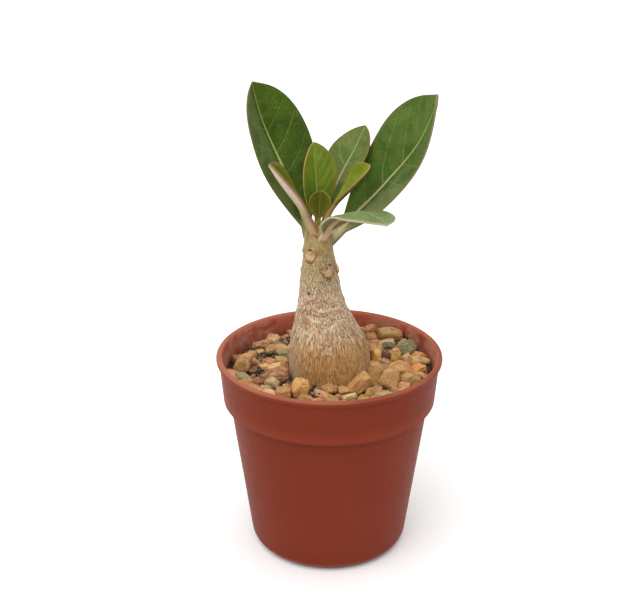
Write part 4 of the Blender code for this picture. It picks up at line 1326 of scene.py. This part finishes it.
def make_bits():
    """Dark chips of bark and crumbs of potting mix that show between the stones."""
    draw = random.Random(BIT_SEED)
    net = sphere_net(2)
    heap = Heap()
    for across, away, length, width in SOIL_PATCHES:
        for _ in range(int(BITS_PER_AREA * length * width)):
            x = (across + draw.uniform(-BIT_SPREAD, BIT_SPREAD) * length) * MM
            y = (away + draw.uniform(-BIT_SPREAD, BIT_SPREAD) * width) * MM
            size = draw.uniform(*BIT_LENGTH)
            form = stone_form(net, 5, 16.0, 1.5, draw)
            form *= np.array([size, size * 0.7, size * draw.uniform(0.35, 0.8)]) * 0.6
            z = gravel_level(x, y) + draw.uniform(*BIT_LIFT)
            turns = any_turn(draw, 0.6)
            dark = linear(draw.choice(BIT_COLOURS))
            heap.add(form, net[1], (x, y, z), turns, (dark, dark), draw)
    heap.piece("bark_bits", bit_material(), "soil")


def make_bed(material):
    """The uneven top of the potting mix under the stones, as a closed ring."""
    points = []
    for i in range(BED_ROWS + 1):
        radius = mix(BED_INNER, BED_OUTER, i / BED_ROWS)
        for x, y, _ in ring_points(radius, 0.0, BED_STEPS):
            lump = noise.noise(Vector((x, y, 0.0)) * 420.0)
            lump += 0.6 * noise.noise(Vector((x, y, 0.01)) * 1100.0)
            points.append((x, y, gravel_level(x, y) - BED_DEPTH + lump * BED_LUMPS))
    points += ring_points(BED_OUTER, SOIL_TOP, BED_STEPS)
    points += ring_points(BED_INNER, SOIL_TOP, BED_STEPS)
    faces = ring_faces(BED_ROWS + 3, BED_STEPS, flip=True)
    last = (BED_ROWS + 2) * BED_STEPS
    for j in range(BED_STEPS):
        k = (j + 1) % BED_STEPS
        faces.append((last + k, last + j, j, k))
    make_piece("gravel_bed", points, faces, material, "gravel")


# Stem


def catmull(a, b, c, d, t):
    """The smooth curve through b and c, with a and d as its neighbours."""
    return 0.5 * (
        2.0 * b + (c - a) * t + (2.0 * a - 5.0 * b + 4.0 * c - d) * t * t
        + (3.0 * b - a - 3.0 * c + d) * t ** 3
    )


def stem_form(height):
    """Radius and sideways place of the stem's middle at a height, read from STEM_FORM."""
    rows = STEM_FORM
    value = height / MM
    k = 0
    while k < len(rows) - 2 and value > rows[k + 1][0]:
        k += 1
    t = (value - rows[k][0]) / (rows[k + 1][0] - rows[k][0])
    near = [rows[max(k - 1, 0)], rows[k], rows[k + 1], rows[min(k + 2, len(rows) - 1)]]
    radius = catmull(*(row[1] for row in near), t) * MM
    across = catmull(*(row[2] for row in near), t) * MM
    return max(radius, 0.1 * MM), across


def around(angle, side):
    """The shortest way round between directions, in radians."""
    return (angle - math.radians(side) + math.pi) % (2.0 * math.pi) - math.pi


def low_relief(angle, height):
    """Slow lobes and growth ridges."""
    above_gravel = smooth_step((height - GRAVEL_LEVEL) / LOBES_FADE_IN)
    below_crown = smooth_step((LOBES_END - height) / LOBES_FADE_OUT)
    raised = LOBE_HEIGHT * np.sin(LOBES * angle + LOBE_TURN) * above_gravel * below_crown
    for place, size in RIDGES:
        wave = RIDGE_WAVE * np.sin(2.0 * angle + place)
        near = (height - place * MM + wave) / RIDGE_HALF_HEIGHT
        raised += size * MM * np.exp(-near * near)
    return raised


def scar_relief(angle, height, radius):
    """Height, rim and pad of the leaf scars, each a pad over a curved or pointed rim."""
    raised = np.zeros_like(angle)
    rim = np.zeros_like(angle)
    pad = np.zeros_like(angle)
    for place, side, half_width, size, half_height, slope, point in SCARS:
        aside = around(angle, side) * radius / (half_width * MM)
        upward = (height - place * MM) / (half_height * MM)
        wavy = 0.10 * np.sin(7.0 * aside + place) + 0.07 * np.cos(9.0 * upward + side)
        over = upward + 1.0 - slope * aside - 1.15 * np.abs(aside) ** point + wavy
        within = 1.0 - smooth_step((np.abs(aside) - 0.95) / 0.25)
        below_top = 1.0 - smooth_step((upward - 0.55 + 0.5 * aside ** 2 + wavy) / 0.40)
        on_pad = smooth_step(over / 0.35) * within * below_top
        on_rim = np.exp(-((over / 0.24) ** 2)) * (1.0 - smooth_step((np.abs(aside) - 1.0) / 0.3))
        swelling = np.exp(-((aside ** 2 + (0.9 * upward) ** 2) ** 2))
        relief = SCAR_SWELLING * swelling + SCAR_RIM * on_rim - SCAR_PAD * on_pad
        raised += size * MM * relief
        on_top = np.exp(-(((upward - 0.70 + 0.5 * aside ** 2 + 2.0 * wavy) / 0.14) ** 2)) * within
        rim = np.maximum(rim, (size / 0.8) ** 2 * np.maximum(on_rim, 0.60 * on_top))
        pad = np.maximum(pad, on_pad)
    return raised, rim, pad


def spots(rows, angle, height, radius, squareness=2.0):
    """Small marks on the stem: height, side, half across and half up, in millimetres."""
    found = np.zeros_like(angle)
    for place, side, half_across, half_up in rows:
        aside = around(angle, side) * radius / (half_across * MM)
        upward = (height - place * MM) / (half_up * MM)
        wavy = 0.28 * np.sin(3.0 * aside + 2.0 * upward + place) * np.cos(4.0 * upward + side)
        out = (np.abs(aside) ** squareness + np.abs(upward) ** squareness) ** (1.0 / squareness)
        found = np.maximum(found, 1.0 - smooth_step((out + wavy - 0.7) / 0.5))
    return found


def bark_waves(angles, heights):
    """A wavy pattern whose zero lines are the furrows, upright low down and netted above."""
    noise.seed_set(FURROW_SEED)
    found = np.zeros(len(angles))
    climb = np.interp(heights, *zip(*FURROW_CLIMB))
    reach = np.interp(heights, *zip(*FURROW_REACH)) / FURROW_GAP
    for i, angle in enumerate(angles):
        at = Vector((reach[i] * math.cos(angle), reach[i] * math.sin(angle), climb[i]))
        at += 0.20 * noise.noise_vector(at * 0.5)
        found[i] = noise.noise(at) + 0.22 * noise.noise(at * 1.9)
    return found


def skin_wrinkles(places):
    """Fine unevenness of the skin, from about -1 to 1."""
    return np.array([
        noise.noise(Vector((x * 350.0, y * 350.0, z * 900.0)))
        + 0.6 * noise.noise(Vector((x * 1500.0, y * 1500.0, z * 1100.0)))
        for x, y, z in places
    ])


def bark_surface(levels):
    """Places on the stem ring by ring at the levels, and what the bark's material reads."""
    top = STEM_FORM[-1][0] * MM
    forms = [stem_form(level) for level in levels]
    turns = np.arange(STEM_STEPS) * 2.0 * math.pi / STEM_STEPS
    angle = np.tile(turns, len(levels))
    height = np.repeat(levels, STEM_STEPS)
    radius = np.repeat([form[0] for form in forms], STEM_STEPS)
    across = np.repeat([form[1] for form in forms], STEM_STEPS)
    raised, rim, pad = scar_relief(angle, height, radius)
    waves = bark_waves(angle, height)
    facts = {
        "bark_wave": waves,
        "hollow": spots(HOLLOWS, angle, height, radius),
        "scar_rim": rim,
        "scar_pad": pad,
        "pit": spots(PITS, angle, height, radius),
        "crease": spots(PALE_RIDGES, angle, height, radius),
        "patch": spots(PATCHES, angle, height, radius, 5.0),
        "mark": spots(MARKS, angle, height, radius),
    }
    fade_tip = smooth_step((top - height) / TIP_FADE)
    fade_out = smooth_step((FURROWS_END - height) / FURROWS_FADE_OUT)
    fade_in = smooth_step((height - BARK_FROM) / FURROWS_FADE_IN)
    furrow = (1.0 - smooth_step(np.abs(waves) / FURROW_WIDTH)) * fade_out * fade_in * (1.0 - pad)
    base = np.stack([radius * np.cos(angle), radius * np.sin(angle), height], 1)
    wrinkle = skin_wrinkles(base) * (0.05 + 0.20 * facts["crease"]) * MM
    reach = radius + (raised + low_relief(angle, height) + wrinkle) * fade_tip
    reach += PATCH_HEIGHT * facts["patch"] + PALE_RIDGE_HEIGHT * facts["crease"]
    reach -= FURROW_DEPTH * furrow + PIT_DEPTH * facts["pit"] + HOLLOW_DEPTH * facts["hollow"]
    reach = np.maximum(reach, 0.3 * radius)
    points = np.stack([across + reach * np.cos(angle), reach * np.sin(angle), height], 1)
    return points, facts


def make_stem():
    """The plant's body in two pieces, which share a ring at the waist."""
    top = STEM_FORM[-1][0] * MM
    root = [row[0] * MM for row in STEM_FORM if row[0] * MM < BARK_FROM]
    swollen = np.linspace(BARK_FROM, WAIST, SWOLLEN_RINGS)
    upper = [mix(WAIST, top, (i / STEM_RINGS) ** STEM_BUNCHING) for i in range(STEM_RINGS + 1)]
    skin = bark_material()
    for name, levels, low_point, high_point in (
        ("swollen_base", np.concatenate([root, swollen]), ROOT_POINT, 0.0),
        ("stem", np.array(upper), 0.0, STEM_POINT),
    ):
        points, facts = bark_surface(levels)
        ends = [
            (stem_form(levels[0])[1], 0.0, levels[0] - low_point),
            (stem_form(levels[-1])[1], 0.0, levels[-1] + high_point),
        ]
        faces = ring_faces(len(levels), STEM_STEPS)
        faces += fan(len(points), 0, STEM_STEPS)
        faces += fan(len(points) + 1, (len(levels) - 1) * STEM_STEPS, STEM_STEPS, flip=True)
        piece = make_piece(name, points.tolist() + ends, faces, skin, "caudex")
        for fact, values in facts.items():
            give(piece, fact, np.append(values, [0.0, 0.0]))


# Leaves


def leaf_outline(share, belly, taper):
    """Half the blade's width along it, from 0 to 1 of the widest."""
    if share <= 0.0 or share >= 1.0:
        return 0.0
    widest = belly / (belly + taper)
    return (share / widest) ** belly * ((1.0 - share) / (1.0 - widest)) ** taper


def leaf_frame(leaf, share):
    """Directions along, across and up from the blade at a share of its length."""
    heading = math.radians(leaf.heading + leaf.turn * share)
    foot_rise, bow, tip_rise = leaf.rise
    rise = math.radians(mix(foot_rise, tip_rise, share) + bow * math.sin(math.pi * share))
    along = Vector(
        (math.cos(rise) * math.cos(heading), math.cos(rise) * math.sin(heading), math.sin(rise))
    )
    up = Vector(
        (-math.sin(rise) * math.cos(heading), -math.sin(rise) * math.sin(heading), math.cos(rise))
    )
    across = along.cross(up)
    roll = math.radians(mix(*leaf.roll, share))
    return (
        np.array(along),
        np.array(across * math.cos(roll) - up * math.sin(roll)),
        np.array(up * math.cos(roll) + across * math.sin(roll)),
    )


def leaf_foot(leaf):
    """Where the leaf stalk's middle enters the stem, and the way into the stem there."""
    height = leaf.foot[0] * MM
    side = math.radians(leaf.foot[1])
    outward = np.array((math.cos(side), math.sin(side), 0.0))
    radius = stem_form(height)[0] - SEAT_DEPTH
    return np.array((STEM_TOP_ACROSS, 0.0, height)) + outward * radius, -outward


def leaf_columns():
    """Shares from one margin to the other, closer together at the midrib."""
    steps = np.linspace(-1.0, 1.0, 2 * LEAF_HALF_COLUMNS + 1)
    return np.sign(steps) * np.abs(steps) ** COLUMN_BUNCHING


def even_veins(leaf):
    """Side veins at even steps, for the leaves whose own veins hardly show."""
    length = leaf.size[0]
    gap = VEIN_GAP + VEIN_GAP_GROWTH * length
    draw = random.Random(leaf.name)
    sides = []
    for shift in (0.0, 0.46):
        starts, place = [], gap * (0.6 + shift)
        while place < length:
            starts.append((place, draw.uniform(0.25, 0.6)))
            place += gap * draw.uniform(0.85, 1.15)
        sides.append((EVEN_SLOPE, EVEN_SWEEP, tuple(starts)))
    return Veins((0.0, 0.0, 0.0, 0.0, 0.0), *sides)


def vein_facts(side, along, aside, share, half_width_most):
    """Which side vein is near: its running number, the gap between veins and its strength."""
    slope, sweep, rows = side
    starts = np.array([-10.0] + [row[0] for row in rows] + [rows[-1][0] + 10.0])
    strengths = np.array([0.0] + [row[1] for row in rows] + [0.0])
    run = along - slope * (0.5 + share) * aside - sweep * aside ** 2 / half_width_most
    run = np.clip(run, starts[0], starts[-1] - 0.01)
    phase = np.interp(run, starts, np.arange(len(starts)))
    low = np.floor(phase).astype(int)
    gap = starts[low + 1] - starts[low]
    return phase + 0.5, gap, strengths[np.round(phase).astype(int)]


def leaf_width(leaf, share, stalk):
    """Half the width at a share of the length, and how far it is blade, from 0 to 1."""
    length, half_width_most = leaf.size
    blade_share = (share - leaf.bare) / (1.0 - leaf.bare)
    blade = half_width_most * MM * leaf_outline(blade_share, *leaf.outline)
    to_tip = (1.0 - share) * length * MM
    slope = TIP_SLOPES.get(leaf.name)
    if slope and blade > 0.0 and to_tip > 0.0:
        blade = (blade ** -TIP_BLEND + (slope * to_tip) ** -TIP_BLEND) ** (-1.0 / TIP_BLEND)
    narrowest = STALK_WIDTH_SHARE * stalk * min(1.0, to_tip / (TIP_TAPER * length * MM))
    half_width = max(blade, narrowest, THINNEST_TIP)
    return half_width, float(smooth_step((half_width - narrowest) / (BLADE_ONSET * stalk)))


def leaf_faces(aside, stalk, flat):
    """Heights of the upper and lower face from the midrib outwards, for stalk or blade."""
    plate = 0.5 * LEAF_THICKNESS
    at_rib = np.exp(-((aside / (0.75 * stalk)) ** 2))
    beside_rib = np.exp(-(((aside - 0.8 * stalk) / (0.5 * stalk)) ** 2))
    top = mix(0.35 * stalk, plate, flat) + 0.10 * stalk * at_rib - 0.10 * MM * beside_rib
    depth = mix(0.55 * stalk, plate, flat) + mix(0.45 * stalk, 0.55 * stalk, flat) * at_rib
    return top, depth


def quilting(phase, gap, strength, on_blade):
    """How far the skin swells between the side veins and is pressed in along them."""
    off_line = np.abs(phase - np.floor(phase) - 0.5) * gap
    pressed = np.exp(-((off_line / VEIN_WIDTH) ** 2)) * on_blade * strength
    puffed = np.sin(np.clip(off_line / gap * 2.0, 0.0, 1.0) * 0.5 * math.pi) * on_blade
    return QUILT_HEIGHT * puffed - VEIN_DEPTH * pressed


def leaf_row(leaf, veins, share, columns):
    """One cut across the leaf: places, heights of both faces and facts for the material."""
    stalk = leaf.stalk * MM * mix(1.0, STALK_TIP_SHARE, share ** STALK_THINNING)
    half_width, flat = leaf_width(leaf, share, stalk)
    margin = min(MARGIN_WIDTH, 0.4 * half_width)
    rib = np.interp(share, (0.0, 0.25, 0.5, 0.75, 1.0), veins.rib) * MM
    rib = float(np.clip(rib, -RIB_SHIFT_MOST * half_width, RIB_SHIFT_MOST * half_width))
    inner = columns * (half_width - margin) + rib * (1.0 - np.abs(columns))
    outer = half_width - margin + margin * np.array(MARGIN_STEPS)
    place = np.concatenate([-outer[::-1], inner, outer])
    from_rib = place - rib
    aside = np.abs(from_rib)
    to_edge = half_width - np.abs(place)
    inward = np.clip(1.0 - to_edge / margin, 0.0, 1.0)
    rounded = np.sqrt(1.0 - inward ** 2)
    top, depth = leaf_faces(aside, stalk, flat)

    along = np.full_like(place, share * leaf.size[0])
    both = [
        vein_facts(side, along, aside / MM, share, leaf.size[1])
        for side in (veins.left, veins.right)
    ]
    phase, gap, strength = (np.where(from_rib < 0.0, left, right) for left, right in zip(*both))
    on_blade = flat * smooth_step((aside / MM - 0.7) / 1.2) * smooth_step(to_edge / (3.0 * MM))
    quilt = quilting(phase, gap, strength, on_blade)
    upper = top * rounded + quilt
    lower = -depth * rounded + 0.6 * quilt
    facts = (along, from_rib / MM, to_edge / MM, np.full_like(place, share), phase, gap, strength)
    return place, rib, upper, lower, half_width, flat, facts


def leaf_bend(leaf, share, place, rib, half_width, flat, waves):
    """How far a row of places lies across and up, with the fold and the margins' waves."""
    fold = math.radians(leaf.fold)
    aside = np.abs(place - rib)
    bent = np.sqrt(aside ** 2 + FOLD_ROUNDING ** 2) - FOLD_ROUNDING
    bent = mix(aside, bent, flat) + rib * place / half_width
    left, right = (math.sin(2.0 * math.pi * turns * share + start) for turns, start in waves)
    wave = np.where(place > rib, right, left)
    lift = LEAF_WAVE * half_width * wave * (place / half_width) ** 2 * flat
    return place * math.cos(fold), bent * math.sin(fold) + lift


def make_leaf(leaf):
    columns = leaf_columns()
    veins = VEINS.get(leaf.name) or even_veins(leaf)
    centre, inward = leaf_foot(leaf)
    length = leaf.size[0] * MM
    draw = random.Random(leaf.name)
    waves = [(draw.uniform(1.4, 2.6), draw.uniform(0.0, 6.28)) for _ in range(2)]
    rows = LEAF_ROWS if leaf.size[0] > SMALL_LEAF else SMALL_LEAF_ROWS
    previous = 0.0
    upper_rows, lower_rows, facts = [], [], []
    for i in range(rows + 1):
        share = 1.0 - (1.0 - i / rows) ** ROW_BUNCHING
        step = leaf_frame(leaf, 0.5 * (previous + share))[0]
        centre = centre + step * (share - previous) * length
        previous = share
        _, across, up = leaf_frame(leaf, share)
        place, rib, top, bottom, half_width, flat, known = leaf_row(leaf, veins, share, columns)
        aside, lift = leaf_bend(leaf, share, place, rib, half_width, flat, waves)
        base = centre + np.outer(aside, across) + np.outer(lift, up)
        upper_rows.append(base + np.outer(top, up))
        lower_rows.append(base + np.outer(bottom, up))
        facts.append(np.stack(known, 1))
    heel = inward * HEEL_DEPTH - np.array((0.0, 0.0, HEEL_DROP))
    upper_rows.insert(0, upper_rows[0] + heel)
    lower_rows.insert(0, lower_rows[0] + heel)
    facts.insert(0, facts[0])
    weave(leaf, upper_rows, lower_rows, facts)


def weave(leaf, upper_rows, lower_rows, facts):
    """Joins the rows of both faces into one closed blade and names each place on it."""
    width = len(upper_rows[0])
    points, known, is_upper, loops = [], [], [], []
    for upper, lower, row in zip(upper_rows, lower_rows, facts):
        first = len(points)
        points.extend(upper.tolist())
        points.extend(lower[1:-1].tolist())
        top = list(range(first, first + width))
        bottom = [top[0]] + list(range(first + width, first + 2 * width - 2)) + [top[-1]]
        loops.append((top, bottom))
        known.extend([row, row[1:-1]])
        is_upper.extend([1.0] * width + [0.0] * (width - 2))
    faces = []
    for (top, bottom), (next_top, next_bottom) in zip(loops, loops[1:]):
        for j in range(width - 1):
            faces.append((top[j], top[j + 1], next_top[j + 1], next_top[j]))
            faces.append((bottom[j + 1], bottom[j], next_bottom[j], next_bottom[j + 1]))
    for (top, bottom), flip in ((loops[0], False), (loops[-1], True)):
        for j in range(width - 1):
            corners = list(dict.fromkeys([top[j], bottom[j], bottom[j + 1], top[j + 1]]))
            if len(corners) > 2:
                faces.append(corners[::-1] if flip else corners)
    name = leaf.name.replace("leaf_", "blade_")
    blade = make_piece(name, points, faces, leaf_material(leaf), leaf.name)
    known = np.concatenate(known)
    give(blade, "leaf_place", known[:, :3])
    for k, fact in enumerate(("leaf_share", "vein_phase", "vein_gap", "vein_strength")):
        give(blade, fact, known[:, 3 + k])
    give(blade, "leaf_upper", is_upper)


# Studio


def add(name, data):
    """An object in the scene."""
    made = bpy.data.objects.new(name, data)
    bpy.context.scene.collection.objects.link(made)
    return made


def make_camera():
    lens = bpy.data.cameras.new("camera")
    lens.sensor_width = CAMERA_SENSOR
    lens.lens = CAMERA_LENS
    camera = add("camera", lens)
    camera.location = CAMERA_PLACE
    camera.rotation_euler = CAMERA_TURN
    bpy.context.scene.camera = camera


def make_floor():
    sides = ((-1, -1), (1, -1), (1, 1), (-1, 1))
    corners = [(x * FLOOR_REACH, y * FLOOR_REACH, 0.0) for x, y in sides]
    mesh = bpy.data.meshes.new("studio_floor")
    mesh.from_pydata(corners, [], [(0, 1, 2, 3)])
    mesh.materials.append(floor_material())
    floor = add("studio_floor", mesh)


def make_sky():
    """A soft sky that brightens upwards."""
    world = bpy.data.worlds.new("studio")
    world.use_nodes = True
    nodes, links = world.node_tree.nodes, world.node_tree.links
    sky = nodes["Background"]
    sky.inputs["Color"].default_value = (1.0, 0.995, 0.985, 1.0)
    split = nodes.new("ShaderNodeSeparateXYZ")
    rise = nodes.new("ShaderNodeMapRange")
    rise.interpolation_type = "SMOOTHSTEP"
    names = ("From Min", "From Max", "To Min", "To Max")
    for name, value in zip(names, SKY_RISE + SKY_STRENGTH):
        rise.inputs[name].default_value = value
    coordinates = nodes.new("ShaderNodeTexCoord")
    links.new(coordinates.outputs["Generated"], split.inputs[0])
    links.new(split.outputs["Z"], rise.inputs["Value"])
    links.new(rise.outputs["Result"], sky.inputs["Strength"])
    bpy.context.scene.world = world


def make_sun():
    lamp = bpy.data.lights.new("soft_sun", "SUN")
    lamp.angle = SUN_ANGLE
    lamp.energy = SUN_STRENGTH
    sun = add("soft_sun", lamp)
    sun.rotation_euler = (-Vector(SUN_FROM)).to_track_quat("-Z", "Y").to_euler()


def make_studio():
    make_camera()
    make_floor()
    make_sky()
    make_sun()
    view = bpy.context.scene.view_settings
    view.view_transform = "Standard"
    view.look = "None"


def main():
    make_studio()
    make_pot()
    soil = soil_material()
    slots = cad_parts["soil"].data.materials
    slots.clear()
    slots.append(soil)
    make_bed(soil)
    stone = stone_material()
    make_stones(stone)
    make_chips(stone)
    make_bits()
    make_stem()
    for leaf in LEAVES:
        make_leaf(leaf)


main()
